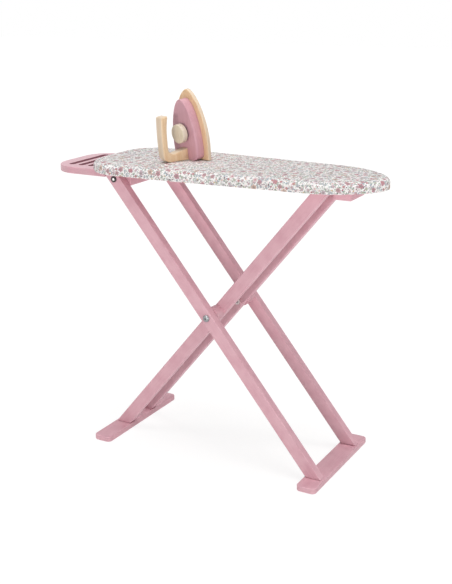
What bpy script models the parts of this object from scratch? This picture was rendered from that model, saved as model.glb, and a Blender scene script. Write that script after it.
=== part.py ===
"""Toy ironing board on folding legs, with a padded cover and a toy iron.

Metres, +Z up. X runs along the board, from the iron rest at -X to the nose at +X, and -Y is the near side.
The origin is on the floor, under the middle of the board's length.
"""
import math

import bmesh
import bpy
from mathutils import Matrix, Vector

MM = 0.001

# Fits
GAP = 0.3 * MM
RUNNING = 0.1 * MM

# Folding frame
PIVOT_HEIGHT = 260.0 * MM
HINGE_TO_PIVOT = 284.0 * MM
OUTER_ANGLE = math.radians(51.2)
INNER_ANGLE = math.radians(50.3)
LEG_WIDTH = 22.0 * MM
LEG_THICKNESS = 15.0 * MM
LEG_EDGE = 1.2 * MM
LEG_HEAD_RADIUS = 20.0 * MM
OUTER_LEG_SPAN = 162.0 * MM
INNER_LEG_SPAN = 88.0 * MM
FOOT_LENGTH = 226.0 * MM
FOOT_WIDTH = 35.0 * MM
FOOT_HEIGHT = 10.0 * MM
FOOT_CORNER = 8.0 * MM
FOOT_EDGE = 1.5 * MM
SPACER_DIAMETER = 27.0 * MM
CROSSBAR_DIAMETER = 9.0 * MM
CROSSBAR_FROM_PIVOT = 258.0 * MM
CROSSBAR_SOCKET = 8.0 * MM
CROSSBAR_RAISE = 5.5 * MM

# Deck
BOARD_OVER_HINGE = 12.6 * MM
BOARD_THICKNESS = 9.0 * MM
LEG_TOP_CLEARANCE = 1.6 * MM
NOSE_REACH = 462.0 * MM
COVER_BACK_REACH = 61.0 * MM
COVER_WIDTH = 195.0 * MM
COVER_CORNER = 64.0 * MM
TAPER_REACH = 72.0 * MM
NOSE_WIDTH = 161.0 * MM
NOSE_LENGTH = 108.0 * MM
NOSE_POINT = 1.7
COVER_THICKNESS = 1.2 * MM
COVER_TOP_RADIUS = 5.5 * MM
CROWN_HEIGHT = 1.4 * MM
CROWN_SHARE = 0.6
FREE_TOP_SHARE = 0.6
PAD_THICKNESS = 4.2 * MM
HEM_DROP = 3.6 * MM
HEM_RADIUS = 2.6 * MM
HEM_LIP = 9.0 * MM
ELASTIC_WIDTH = 6.0 * MM

# Iron rest
REST_REACH = 142.5 * MM
REST_WIDTH = 152.0 * MM
REST_THICKNESS = 11.7 * MM
REST_CORNER = 48.0 * MM
REST_LEG_CLEARANCE = 3.0 * MM
REST_EDGE = 1.5 * MM
SLOT_COUNT = 3
SLOT_WIDTH = 12.0 * MM
SLOT_LENGTH = 110.0 * MM
SLOT_PITCH = 20.5 * MM
SLOT_MARGIN = 31.0 * MM

# Blocks under the board
HINGE_BLOCK_BACK = 12.0 * MM
HINGE_BLOCK_FRONT = 23.0 * MM
HINGE_BLOCK_HEIGHT = 24.6 * MM
CATCH_REACH = 411.0 * MM
CATCH_LENGTH = 30.0 * MM
CATCH_SPAN = 55.0 * MM
CATCH_DROP = 20.5 * MM
BLOCK_EDGE = 1.2 * MM

# Bolts, nuts and screws
BOLT_DIAMETER = 6.0 * MM
BOLT_HEAD_DIAMETER = 12.0 * MM
BOLT_HEAD_HEIGHT = 3.2 * MM
SOCKET_DIAMETER = 4.0 * MM
SOCKET_DEPTH = 1.8 * MM
NUT_FLATS = 11.5 * MM
NUT_HEIGHT = 5.0 * MM
HINGE_BOLT_GRIP = 28.0 * MM
HINGE_BOLT_DIAMETER = 4.0 * MM
HINGE_HEAD_DIAMETER = 4.8 * MM
WASHER_DIAMETER = 10.6 * MM
WASHER_THICKNESS = 1.6 * MM
SCREW_DIAMETER = 3.5 * MM
SCREW_HEAD_DIAMETER = 7.0 * MM
SCREW_HEAD_HEIGHT = 2.4 * MM
SCREW_GRIP = 6.0 * MM
FOOT_SCREW_GRIP = 18.0 * MM
FOOT_SCREW_RECESS = 1.0 * MM
SCREW_SPAN_SHARE = 0.5

# Toy iron, standing on its heel and leaning to its handle
IRON_REACH = 101.9 * MM
IRON_OFFSET = 12.5 * MM
IRON_TURN = math.radians(70.0)
IRON_LEAN = math.radians(7.2)
SOLE_LENGTH = 119.0 * MM
SOLE_WIDTH = 85.0 * MM
SOLE_THICKNESS = 7.0 * MM
SOLE_EDGE = 1.5 * MM
BODY_LENGTH = 104.5 * MM
BODY_WIDTH = 63.0 * MM
BODY_THICKNESS = 16.0 * MM
BODY_HEEL_LIFT = 2.0 * MM
BODY_EDGE = 2.0 * MM
WIDEST_SHARE = 0.27
HEEL_SHARE = 0.92
TIP_POWER = 1.8
TIP_ROUND = 0.62
HANDLE_GAP = 36.5 * MM
HANDLE_THICKNESS = 11.5 * MM
HANDLE_WIDTH = 15.8 * MM
HANDLE_HEIGHT = 85.0 * MM
HANDLE_ARM = 19.5 * MM
HANDLE_ARM_RISE = 3.5 * MM
HANDLE_OUTER_RADIUS = 15.0 * MM
HANDLE_INNER_RADIUS = 10.5 * MM
HANDLE_TOP_RADIUS = 3.0 * MM
HANDLE_SPLAY = 3.0 * MM
HANDLE_EDGE = 2.0 * MM
DIAL_DIAMETER = 32.5 * MM
DIAL_THICKNESS = 12.5 * MM
DIAL_EDGE = 2.2 * MM
DIAL_HEIGHT = 48.3 * MM
DIAL_PIN_DIAMETER = 4.0 * MM
DIAL_PIN_GRIP = 10.0 * MM
DOWEL_DIAMETER = 5.0 * MM
DOWEL_GRIP = 5.0 * MM
HANDLE_DOWEL_PITCH = 9.0 * MM
SOLE_DOWEL_PITCH = 40.0 * MM

ROUND_STEPS = 24
EDGE_STEPS = 2

# Places worked out from the sizes above
HINGE_X = (REST_REACH - NOSE_REACH) / 2
HINGE_HEIGHT = PIVOT_HEIGHT + HINGE_TO_PIVOT * math.sin(OUTER_ANGLE)
PIVOT_X = HINGE_X + HINGE_TO_PIVOT * math.cos(OUTER_ANGLE)
BOARD_UNDER = HINGE_HEIGHT + BOARD_OVER_HINGE
BOARD_TOP = BOARD_UNDER + BOARD_THICKNESS
PAD_UNDER = BOARD_TOP + GAP
COVER_TOP = PAD_UNDER + PAD_THICKNESS + GAP + COVER_THICKNESS
BOARD_INSET = COVER_THICKNESS + GAP
OUTER_FACE = OUTER_LEG_SPAN / 2
OUTER_BACK = OUTER_FACE - LEG_THICKNESS
INNER_FACE = INNER_LEG_SPAN / 2
INNER_BACK = INNER_FACE - LEG_THICKNESS
SIDES = (("near", -1), ("far", 1))


def linear(hex_colour):
    """Linear RGBA of an sRGB hex colour."""
    channels = [int(hex_colour[i:i + 2], 16) / 255 for i in (1, 3, 5)]
    return [c / 12.92 if c <= 0.04045 else ((c + 0.055) / 1.055) ** 2.4 for c in channels] + [1.0]


def make_material(name, hex_colour, roughness, metallic=0.0):
    material = bpy.data.materials.new(name)
    material.use_nodes = True
    shader = material.node_tree.nodes["Principled BSDF"]
    shader.inputs["Base Color"].default_value = linear(hex_colour)
    shader.inputs["Roughness"].default_value = roughness
    shader.inputs["Metallic"].default_value = metallic
    return material


def clear_scene():
    for old in list(bpy.data.objects):
        bpy.data.objects.remove(old, do_unlink=True)


def add_empty(name, location, rotation=(0.0, 0.0, 0.0), parent=None):
    """An axis that pieces hang from."""
    empty = bpy.data.objects.new(name, None)
    empty.location = location
    empty.rotation_euler = rotation
    empty.parent = parent
    bpy.context.scene.collection.objects.link(empty)
    return empty


def add_piece(name, bm, material, parent=None, bevel=0.0, smooth=False):
    """One named solid from a closed bmesh, with its edges rounded when a bevel is given."""
    bmesh.ops.recalc_face_normals(bm, faces=bm.faces)
    mesh = bpy.data.meshes.new(name)
    bm.to_mesh(mesh)
    bm.free()
    if smooth:
        mesh.shade_smooth()
        mesh.set_sharp_from_angle(angle=math.radians(35))
    piece = bpy.data.objects.new(name, mesh)
    piece.parent = parent
    bpy.context.scene.collection.objects.link(piece)
    if material:
        mesh.materials.append(material)
    if bevel:
        rounding = piece.modifiers.new("edges", "BEVEL")
        rounding.width = bevel
        rounding.segments = EDGE_STEPS
        rounding.limit_method = "ANGLE"
        rounding.angle_limit = math.radians(50)
    return piece


def cut(piece, bm):
    """Take the bmesh's solids out of the piece, which shares its parent with the cutter."""
    cutter = add_piece("cut_" + piece.name, bm, None, piece.parent)
    cutter.hide_render = True
    cutter.display_type = "WIRE"
    cutter.location = piece.location
    cutter.rotation_euler = piece.rotation_euler
    boolean = piece.modifiers.new("cut", "BOOLEAN")
    boolean.operation = "DIFFERENCE"
    boolean.solver = "EXACT"
    boolean.object = cutter


def prism(outline, low, high):
    """Outline in XY pushed along Z from low to high."""
    bm = bmesh.new()
    bottom = [bm.verts.new((x, y, low)) for x, y in outline]
    face = bm.faces.new(bottom)
    pushed = bmesh.ops.extrude_face_region(bm, geom=[face])
    moved = [v for v in pushed["geom"] if isinstance(v, bmesh.types.BMVert)]
    bmesh.ops.translate(bm, verts=moved, vec=(0, 0, high - low))
    return bm


def upright_prism(outline, low, high):
    """Outline in XZ pushed along Y from low to high."""
    bm = prism(outline, -high, -low)
    bmesh.ops.rotate(bm, verts=bm.verts, cent=(0, 0, 0), matrix=Matrix.Rotation(math.radians(90), 3, "X"))
    return bm


def arc(centre, radius, start, end, steps):
    """Points of an arc from one angle in degrees to another, both ends included."""
    points = []
    for i in range(steps + 1):
        angle = math.radians(start + (end - start) * i / steps)
        points.append((centre[0] + radius * math.cos(angle), centre[1] + radius * math.sin(angle)))
    return points


def rounded_rectangle(length, width, radius, steps=5):
    """Outline of a rectangle about the origin with round corners."""
    outline = []
    for sx, sy, start in ((1, 1, 0), (-1, 1, 90), (-1, -1, 180), (1, -1, 270)):
        centre = (sx * (length / 2 - radius), sy * (width / 2 - radius))
        outline += arc(centre, radius, start, start + 90, steps)
    return outline


def loft(rings, closed=False):
    """Solid through rings of points: capped at both ends, or joined end to start when closed."""
    bm = bmesh.new()
    layers = [[bm.verts.new(point) for point in ring] for ring in rings]
    count = len(layers[0])
    pairs = list(zip(layers, layers[1:]))
    if closed:
        pairs.append((layers[-1], layers[0]))
    for lower, upper in pairs:
        for i in range(count):
            j = (i + 1) % count
            bm.faces.new((lower[i], lower[j], upper[j], upper[i]))
    if not closed:
        bm.faces.new(layers[0])
        bm.faces.new(layers[-1])
    return bm


def turned(profile, steps=ROUND_STEPS):
    """Solid of revolution about Z from (radius, z) points, run from one end of the axis to the other."""
    rings = []
    for radius, z in profile:
        rings.append([(x, y, z) for x, y in arc((0, 0), radius, 0, 360 - 360 / steps, steps - 1)])
    return loft(rings)


def along(bm, direction, point):
    """Turn a solid made along +Z to a direction and move its origin to a point."""
    turn = Vector((0, 0, 1)).rotation_difference(Vector(direction)).to_matrix().to_4x4()
    bmesh.ops.transform(bm, matrix=Matrix.Translation(point) @ turn, verts=bm.verts)
    return bm


def rod(diameter, start, end):
    """Plain cylinder between two points."""
    start, end = Vector(start), Vector(end)
    bm = turned([(diameter / 2, 0.0), (diameter / 2, (end - start).length)])
    return along(bm, end - start, start)


def merged(parts):
    """One bmesh with the solids of several."""
    whole = bmesh.new()
    for part in parts:
        mesh = bpy.data.meshes.new("part")
        part.to_mesh(mesh)
        part.free()
        whole.from_mesh(mesh)
        bpy.data.meshes.remove(mesh)
    return whole


def screw_solid(length):
    """Countersunk screw along +Z, its head's flat face at the origin."""
    head, shank = SCREW_HEAD_DIAMETER / 2, SCREW_DIAMETER / 2
    return turned([(head, 0.0), (head, SCREW_HEAD_HEIGHT / 4), (shank, SCREW_HEAD_HEIGHT),
                   (shank, length - SCREW_DIAMETER), (shank / 4, length)], 16)


def screw_hole(length):
    """Room for the same screw with a gap all round, open below its head."""
    head, shank = SCREW_HEAD_DIAMETER / 2 + GAP, SCREW_DIAMETER / 2 + GAP
    return turned([(head, -SCREW_HEAD_DIAMETER), (head, SCREW_HEAD_HEIGHT / 4 + GAP),
                   (shank, SCREW_HEAD_HEIGHT + GAP), (shank, length + GAP)], 16)


def deck_outline(inset):
    """Plan of the covered board, drawn in by an inset: round back corners, tapered sides, round nose."""
    back = HINGE_X - COVER_BACK_REACH
    shoulder = HINGE_X + TAPER_REACH
    nose_start = HINGE_X + NOSE_REACH - NOSE_LENGTH
    half, nose_half = COVER_WIDTH / 2, NOSE_WIDTH / 2
    near = arc((back + COVER_CORNER, COVER_CORNER - half), COVER_CORNER, 180, 270, 7)
    taper_steps = 4
    for i in range(taper_steps):
        share = i / taper_steps
        near.append((shoulder + (nose_start - shoulder) * share, -half + (half - nose_half) * share))
    nose_steps = 12
    for i in range(nose_steps + 1):
        angle = math.radians(90 * i / nose_steps)
        forward, across = math.sin(angle) ** (2 / NOSE_POINT), max(0.0, math.cos(angle)) ** (2 / NOSE_POINT)
        near.append((nose_start + NOSE_LENGTH * forward, -nose_half * across))
    outline = near + [(x, -y) for x, y in reversed(near[:-1])]
    drawn_in = []
    for i, (x, y) in enumerate(outline):
        before, after = Vector(outline[i - 1]), Vector(outline[(i + 1) % len(outline)])
        here = Vector((x, y))
        tangent = ((here - before).normalized() + (after - here).normalized()).normalized()
        drawn_in.append((x - inset * tangent.y, y + inset * tangent.x))
    return drawn_in


def deck_ring(inset, z, share=0.0):
    """The outline at a height, moved by a share of the way to the board's middle line."""
    middle_start = HINGE_X - COVER_BACK_REACH + COVER_WIDTH / 2
    middle_end = HINGE_X + NOSE_REACH - NOSE_LENGTH
    ring = []
    for x, y in deck_outline(inset):
        middle = min(max(x, middle_start), middle_end)
        ring.append((x + (middle - x) * share, y * (1 - share), z))
    return ring


def padded_profile(inset, top, under, radius):
    """Ring arguments of a padded top's crown and rounded edge, from the crown's rim down to the underside."""
    profile = [(inset + radius, top + CROWN_HEIGHT, CROWN_SHARE),
               (inset + radius, top + CROWN_HEIGHT * 0.7, CROWN_SHARE / 2)]
    steps = 4
    for i in range(steps + 1):
        angle = math.radians(90 * i / steps)
        profile.append((inset + radius * (1 - math.sin(angle)), top - radius * (1 - math.cos(angle))))
    return profile + [(inset, under)]


def build_deck(pink, foam, fabric, elastic, steel):
    """Board, pad, cover, hem elastic, iron rest and the two blocks, with the screws that hold them."""
    board = add_piece("deck_board", loft([deck_ring(BOARD_INSET, BOARD_UNDER), deck_ring(BOARD_INSET, BOARD_TOP)]),
                      pink)
    pad_inset = COVER_THICKNESS + GAP
    pad_top = COVER_TOP - COVER_THICKNESS - GAP
    pad = padded_profile(pad_inset, pad_top, PAD_UNDER, COVER_TOP_RADIUS - pad_inset)
    add_piece("foam_pad", loft([deck_ring(*ring) for ring in pad]), foam, smooth=True)

    hem_low = BOARD_UNDER - HEM_DROP
    outer = padded_profile(0.0, COVER_TOP, hem_low + HEM_RADIUS, COVER_TOP_RADIUS)
    inner = padded_profile(COVER_THICKNESS, COVER_TOP - COVER_THICKNESS, hem_low + HEM_RADIUS,
                           COVER_TOP_RADIUS - COVER_THICKNESS)
    inner_radius = HEM_RADIUS - COVER_THICKNESS
    turn_steps = 3
    for i in range(1, turn_steps + 1):
        angle = math.radians(90 * i / turn_steps)
        drawn, risen = 1 - math.cos(angle), 1 - math.sin(angle)
        outer.append((HEM_RADIUS * drawn, hem_low + HEM_RADIUS * risen))
        inner.append((COVER_THICKNESS + inner_radius * drawn,
                      hem_low + COVER_THICKNESS + inner_radius * risen))
    outer.append((HEM_LIP, hem_low))
    inner.append((HEM_LIP, hem_low + COVER_THICKNESS))
    cloth = loft([deck_ring(*ring) for ring in outer + inner[::-1]])
    # The flat top is parted beside the iron, which leaves the rest of it as a free face to lay things on.
    top = [face for face in cloth.faces if len(face.verts) > 4 and face.calc_center_median().z > COVER_TOP]
    border = [edge for face in top for edge in face.edges] + [corner for face in top for corner in face.verts]
    free_from = HINGE_X + IRON_REACH + SOLE_WIDTH * FREE_TOP_SHARE
    bmesh.ops.bisect_plane(cloth, geom=top + border, plane_co=(free_from, 0, 0), plane_no=(1, 0, 0))
    cover = add_piece("fabric_cover", cloth, fabric, smooth=True)

    band_low, band_high = hem_low + COVER_THICKNESS + GAP, BOARD_UNDER - GAP
    band_out = HEM_LIP - ELASTIC_WIDTH
    band = [(band_out, band_low), (HEM_LIP, band_low), (HEM_LIP, band_high), (band_out, band_high)]
    hem_elastic = add_piece("hem_elastic", loft([deck_ring(inset, z) for inset, z in band], closed=True), elastic)

    # The hem stops each side of the iron rest, which lies against the board.
    back = HINGE_X - COVER_BACK_REACH
    slit_half = REST_WIDTH / 2 + 2 * GAP
    for piece in (cover, hem_elastic):
        slit = [(back - HEM_LIP, -slit_half), (back + COVER_CORNER, -slit_half),
                (back + COVER_CORNER, slit_half), (back - HEM_LIP, slit_half)]
        cut(piece, prism(slit, hem_low - HEM_DROP, BOARD_UNDER))

    # Iron rest
    rest_left = HINGE_X - REST_REACH
    rest_right = HINGE_X - LEG_HEAD_RADIUS - REST_LEG_CLEARANCE
    rest_half = REST_WIDTH / 2
    rest_high = BOARD_UNDER - GAP
    rest_low = rest_high - REST_THICKNESS
    outline = [(rest_right, -rest_half), (rest_right, rest_half)]
    outline += arc((rest_left + REST_CORNER, rest_half - REST_CORNER), REST_CORNER, 90, 180, 8)
    outline += arc((rest_left + REST_CORNER, REST_CORNER - rest_half), REST_CORNER, 180, 270, 8)
    rest = add_piece("iron_rest", prism(outline, rest_low, rest_high), pink, bevel=REST_EDGE)
    openings = []
    for i in range(SLOT_COUNT):
        slot = rounded_rectangle(SLOT_WIDTH, SLOT_LENGTH, SLOT_WIDTH / 2 * 0.999, 4)
        centre = rest_left + SLOT_MARGIN + i * SLOT_PITCH
        openings.append(prism([(x + centre, y) for x, y in slot], rest_low - SLOT_WIDTH, rest_high + SLOT_WIDTH))

    # Hinge block and catch block
    block_low = BOARD_UNDER - GAP - HINGE_BLOCK_HEIGHT
    block_half = OUTER_BACK - GAP
    block_back, block_front = HINGE_X - HINGE_BLOCK_BACK, HINGE_X + HINGE_BLOCK_FRONT
    outline = [(block_back, -block_half), (block_front, -block_half),
               (block_front, block_half), (block_back, block_half)]
    hinge_block = add_piece("hinge_block", prism(outline, block_low, BOARD_UNDER - GAP), pink, bevel=BLOCK_EDGE)
    catch_high = HINGE_X + CATCH_REACH
    catch_low = catch_high - CATCH_LENGTH
    catch_half = CATCH_SPAN / 2
    outline = [(catch_low, -catch_half), (catch_high, -catch_half), (catch_high, catch_half), (catch_low, catch_half)]
    catch_block = add_piece("catch_block", prism(outline, BOARD_UNDER - GAP - CATCH_DROP, BOARD_UNDER - GAP), pink,
                            bevel=BLOCK_EDGE)

    # Screws from below, each through its piece into the board
    board_holes = []
    holdings = ((rest, "rest_screw", (rest_left + SLOT_MARGIN + SLOT_COUNT * SLOT_PITCH + rest_right) / 2,
                 REST_WIDTH * SCREW_SPAN_SHARE / 2, REST_THICKNESS, openings),
                (hinge_block, "hinge_block_screw", (block_back + block_front) / 2, block_half * SCREW_SPAN_SHARE, HINGE_BLOCK_HEIGHT, []),
                (catch_block, "catch_block_screw", (catch_low + catch_high) / 2, catch_half * SCREW_SPAN_SHARE,
                 CATCH_DROP, []))
    for piece, name, x, offset, depth, others in holdings:
        holes = list(others)
        for side, sign in SIDES:
            start = (x, sign * offset, BOARD_UNDER - GAP - depth + FOOT_SCREW_RECESS)
            length = depth - FOOT_SCREW_RECESS + GAP + SCREW_GRIP
            add_piece(name + "_" + side, along(screw_solid(length), (0, 0, 1), start), steel, smooth=True)
            holes.append(along(screw_hole(length), (0, 0, 1), start))
            board_holes.append(along(screw_hole(length), (0, 0, 1), start))
        if piece is hinge_block:
            for side, sign in SIDES:
                holes.append(rod(HINGE_BOLT_DIAMETER + 2 * GAP, (HINGE_X, sign * 2 * block_half, HINGE_HEIGHT),
                                 (HINGE_X, sign * (block_half - HINGE_BOLT_GRIP - GAP), HINGE_HEIGHT)))
        cut(piece, merged(holes))
    cut(board, merged(board_holes))


def leg_frame(angle, dx, dz):
    """A world offset in the XZ plane, seen from a leg axis turned about Y by an angle."""
    return dx * math.cos(angle) - dz * math.sin(angle), dx * math.sin(angle) + dz * math.cos(angle)


def build_foot(name, axis, angle, offset, screw_x, pink, steel, leg_names):
    """Flat foot across the bottom of two legs, screwed to them from below."""
    x, z = leg_frame(angle, offset[0], offset[1])
    outline = rounded_rectangle(FOOT_WIDTH, FOOT_LENGTH, FOOT_CORNER)
    foot = add_piece(name, prism(outline, 0.0, FOOT_HEIGHT), pink, axis, bevel=FOOT_EDGE)
    foot.location = (x, 0, z)
    foot.rotation_euler = (0, -angle, 0)
    length = FOOT_HEIGHT + GAP + FOOT_SCREW_GRIP - FOOT_SCREW_RECESS
    holes = []
    for (side, sign), leg_middle in zip(SIDES, leg_names):
        start = (screw_x, sign * leg_middle, FOOT_SCREW_RECESS)
        screw = add_piece(name + "_screw_" + side, along(screw_solid(length), (0, 0, 1), start), steel, axis,
                          smooth=True)
        screw.location = foot.location
        screw.rotation_euler = foot.rotation_euler
        holes.append(along(screw_hole(length), (0, 0, 1), start))
    cut(foot, merged(holes))
    return length


def leg_screw_hole(angle, offset, screw_x, middle, length):
    """The foot screw's room in a leg, in the leg's own frame."""
    bm = along(screw_hole(length), (0, 0, 1), (screw_x, middle, FOOT_SCREW_RECESS))
    x, z = leg_frame(angle, offset[0], offset[1])
    place = Matrix.Translation((x, 0, z)) @ Matrix.Rotation(-angle, 4, "Y")
    bmesh.ops.transform(bm, matrix=place, verts=bm.verts)
    return bm


def build_outer_legs(pink, steel, dark):
    """The outer pair, hung on the hinge block, with the pivot spacers and bolts that the inner pair turns on."""
    axis = add_empty("outer_leg_axis", (HINGE_X, 0, HINGE_HEIGHT), (0, OUTER_ANGLE, 0))
    half = LEG_WIDTH / 2
    floor_drop = HINGE_HEIGHT - FOOT_HEIGHT - GAP
    ends = [(floor_drop + c * math.cos(OUTER_ANGLE)) / math.sin(OUTER_ANGLE) for c in (-half, half)]
    head_side = math.degrees(math.asin(half / LEG_HEAD_RADIUS))
    level = 90 + math.degrees(OUTER_ANGLE)
    outline = [(ends[1], half)] + arc((0, 0), half, 90, level, 4)
    outline += arc((0, 0), LEG_HEAD_RADIUS, level + 90 - head_side, 180 + head_side, 4) + [(ends[0], -half)]

    foot_x = (HINGE_HEIGHT - FOOT_HEIGHT) / math.tan(OUTER_ANGLE)
    offset = (foot_x, -HINGE_HEIGHT)
    screw_x = -FOOT_SCREW_GRIP / 2 / math.tan(OUTER_ANGLE)
    middle = (OUTER_FACE + OUTER_BACK) / 2
    length = build_foot("outer_foot", axis, OUTER_ANGLE, offset, screw_x, pink, steel, (middle, middle))

    for side, sign in SIDES:
        low, high = sorted((sign * OUTER_FACE, sign * OUTER_BACK))
        leg = add_piece("outer_leg_" + side, upright_prism(outline, low, high), pink, axis, bevel=LEG_EDGE)
        reach = 2 * OUTER_FACE
        cut(leg, merged([
            rod(HINGE_BOLT_DIAMETER + 2 * RUNNING, (0, 0, 0), (0, sign * reach, 0)),
            rod(BOLT_DIAMETER + 2 * GAP, (HINGE_TO_PIVOT, 0, 0), (HINGE_TO_PIVOT, sign * reach, 0)),
            leg_screw_hole(OUTER_ANGLE, offset, screw_x, sign * middle, length)]))

        spacer_low, spacer_high = INNER_FACE + GAP, OUTER_BACK - GAP
        spacer = add_piece("pivot_spacer_" + side,
                           rod(SPACER_DIAMETER, (HINGE_TO_PIVOT, sign * spacer_low, 0),
                               (HINGE_TO_PIVOT, sign * spacer_high, 0)), pink, axis, smooth=True)
        cut(spacer, rod(BOLT_DIAMETER + 2 * GAP, (HINGE_TO_PIVOT, 0, 0), (HINGE_TO_PIVOT, sign * reach, 0)))

        shank, head = BOLT_DIAMETER / 2, BOLT_HEAD_DIAMETER / 2
        tip = OUTER_FACE + GAP - INNER_BACK + GAP + NUT_HEIGHT + GAP
        bolt = turned([(shank, -tip), (shank, 0.0), (head, 0.0), (head, BOLT_HEAD_HEIGHT * 0.5),
                       (head * 0.7, BOLT_HEAD_HEIGHT), (SOCKET_DIAMETER / 2, BOLT_HEAD_HEIGHT),
                       (SOCKET_DIAMETER / 2, BOLT_HEAD_HEIGHT - SOCKET_DEPTH)])
        face = Vector((HINGE_TO_PIVOT, sign * (OUTER_FACE + GAP), 0))
        add_piece("pivot_bolt_" + side, along(bolt, (0, sign, 0), face), steel, axis, smooth=True)

        nut_radius = NUT_FLATS / 2 / math.cos(math.radians(30))
        nut = turned([(nut_radius, 0.0), (nut_radius, NUT_HEIGHT)], 6)
        nut_face = Vector((HINGE_TO_PIVOT, sign * (INNER_BACK - GAP), 0))
        nut_piece = add_piece("pivot_nut_" + side, along(nut, (0, -sign, 0), nut_face), steel, axis)
        cut(nut_piece, rod(BOLT_DIAMETER + 2 * GAP, (HINGE_TO_PIVOT, 0, 0), (HINGE_TO_PIVOT, sign * reach, 0)))

        # The hinge bolt is fixed in the hinge block and the leg turns on it.
        washer_face = OUTER_FACE + GAP
        washer = rod(WASHER_DIAMETER, (HINGE_X, sign * washer_face, HINGE_HEIGHT),
                     (HINGE_X, sign * (washer_face + WASHER_THICKNESS), HINGE_HEIGHT))
        washer_piece = add_piece("hinge_washer_" + side, washer, dark, smooth=True)
        cut(washer_piece, rod(HINGE_BOLT_DIAMETER + 2 * GAP, (HINGE_X, 0, HINGE_HEIGHT),
                              (HINGE_X, sign * reach, HINGE_HEIGHT)))
        hinge_head = HINGE_HEAD_DIAMETER / 2
        seat = washer_face + WASHER_THICKNESS + GAP
        grip = seat - (OUTER_BACK - GAP) + HINGE_BOLT_GRIP
        hinge_shank = HINGE_BOLT_DIAMETER / 2
        bolt = turned([(hinge_shank, -grip), (hinge_shank, 0.0), (hinge_head, 0.0),
                       (hinge_head * 0.6, WASHER_THICKNESS / 2)])
        add_piece("hinge_bolt_" + side, along(bolt, (0, sign, 0), (HINGE_X, sign * seat, HINGE_HEIGHT)), steel,
                  smooth=True)


def build_inner_legs(pink, steel):
    """The inner pair, which crosses between the outer ones and reaches up under the board."""
    axis = add_empty("inner_leg_axis", (PIVOT_X, 0, PIVOT_HEIGHT), (0, -INNER_ANGLE, 0))
    half = LEG_WIDTH / 2
    floor_drop = PIVOT_HEIGHT - FOOT_HEIGHT - GAP
    ends = [-(floor_drop + c * math.cos(INNER_ANGLE)) / math.sin(INNER_ANGLE) for c in (-half, half)]
    rise = BOARD_UNDER - LEG_TOP_CLEARANCE - PIVOT_HEIGHT
    tops = [(rise - c * math.cos(INNER_ANGLE)) / math.sin(INNER_ANGLE) for c in (-half, half)]
    outline = [(ends[0], -half), (tops[0], -half), (tops[1], half), (ends[1], half)]

    foot_x = -(PIVOT_HEIGHT - FOOT_HEIGHT) / math.tan(INNER_ANGLE)
    offset = (foot_x, -PIVOT_HEIGHT)
    screw_x = FOOT_SCREW_GRIP / 2 / math.tan(INNER_ANGLE)
    middle = (INNER_FACE + INNER_BACK) / 2
    length = build_foot("inner_foot", axis, -INNER_ANGLE, offset, screw_x, pink, steel, (middle, middle))

    socket = INNER_BACK + CROSSBAR_SOCKET
    bar = (CROSSBAR_FROM_PIVOT, CROSSBAR_RAISE)
    ends_of_bar = [(bar[0], sign * (socket - GAP), bar[1]) for side, sign in SIDES]
    add_piece("inner_crossbar", rod(CROSSBAR_DIAMETER, *ends_of_bar), pink, axis, smooth=True)
    for side, sign in SIDES:
        low, high = sorted((sign * INNER_FACE, sign * INNER_BACK))
        leg = add_piece("inner_leg_" + side, upright_prism(outline, low, high), pink, axis, bevel=LEG_EDGE)
        cut(leg, merged([
            rod(BOLT_DIAMETER + 2 * RUNNING, (0, 0, 0), (0, sign * 2 * INNER_FACE, 0)),
            rod(CROSSBAR_DIAMETER + 2 * GAP, (bar[0], 0, bar[1]), (bar[0], sign * socket, bar[1])),
            leg_screw_hole(-INNER_ANGLE, offset, screw_x, sign * middle, length)]))


def sole_half_width(along_sole, length, width):
    """Half the iron's width at a distance from the heel: drawn in at the heel, round at the tip."""
    share = along_sole / length
    if share < WIDEST_SHARE:
        return width / 2 * (1 - (1 - HEEL_SHARE) * ((WIDEST_SHARE - share) / WIDEST_SHARE) ** 2)
    rise = (share - WIDEST_SHARE) / (1 - WIDEST_SHARE)
    return width / 2 * max(0.0, 1 - rise ** TIP_POWER) ** TIP_ROUND


def leaf(length, width, low, high):
    """Leaf-shaped slab standing on its heel, pushed along X. It starts below the heel, to be cut level there."""
    steps = 14
    side = [(sole_half_width(0.0, length, width), -length / steps)]
    for i in range(1, steps):
        share = math.sin(math.radians(90 * i / steps))
        side.append((sole_half_width(share * length, length, width), share * length))
    bm = prism(side + [(0.0, length)] + [(-y, z) for y, z in reversed(side)], low, high)
    upright = Matrix(((0, 0, 1), (1, 0, 0), (0, 1, 0)))
    bmesh.ops.rotate(bm, verts=bm.verts, cent=(0, 0, 0), matrix=upright)
    return bm


def cut_level(bm, lift):
    """Cut a leaning solid level at a lift above the iron's seat and close the cut."""
    down = Vector((math.sin(IRON_LEAN), 0, -math.cos(IRON_LEAN)))
    geometry = list(bm.verts) + list(bm.edges) + list(bm.faces)
    result = bmesh.ops.bisect_plane(bm, geom=geometry, plane_co=down * -lift, plane_no=down, clear_outer=True)
    rim = [edge for edge in result["geom_cut"] if isinstance(edge, bmesh.types.BMEdge)]
    bmesh.ops.edgenet_fill(bm, edges=rim)
    return bm


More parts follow.
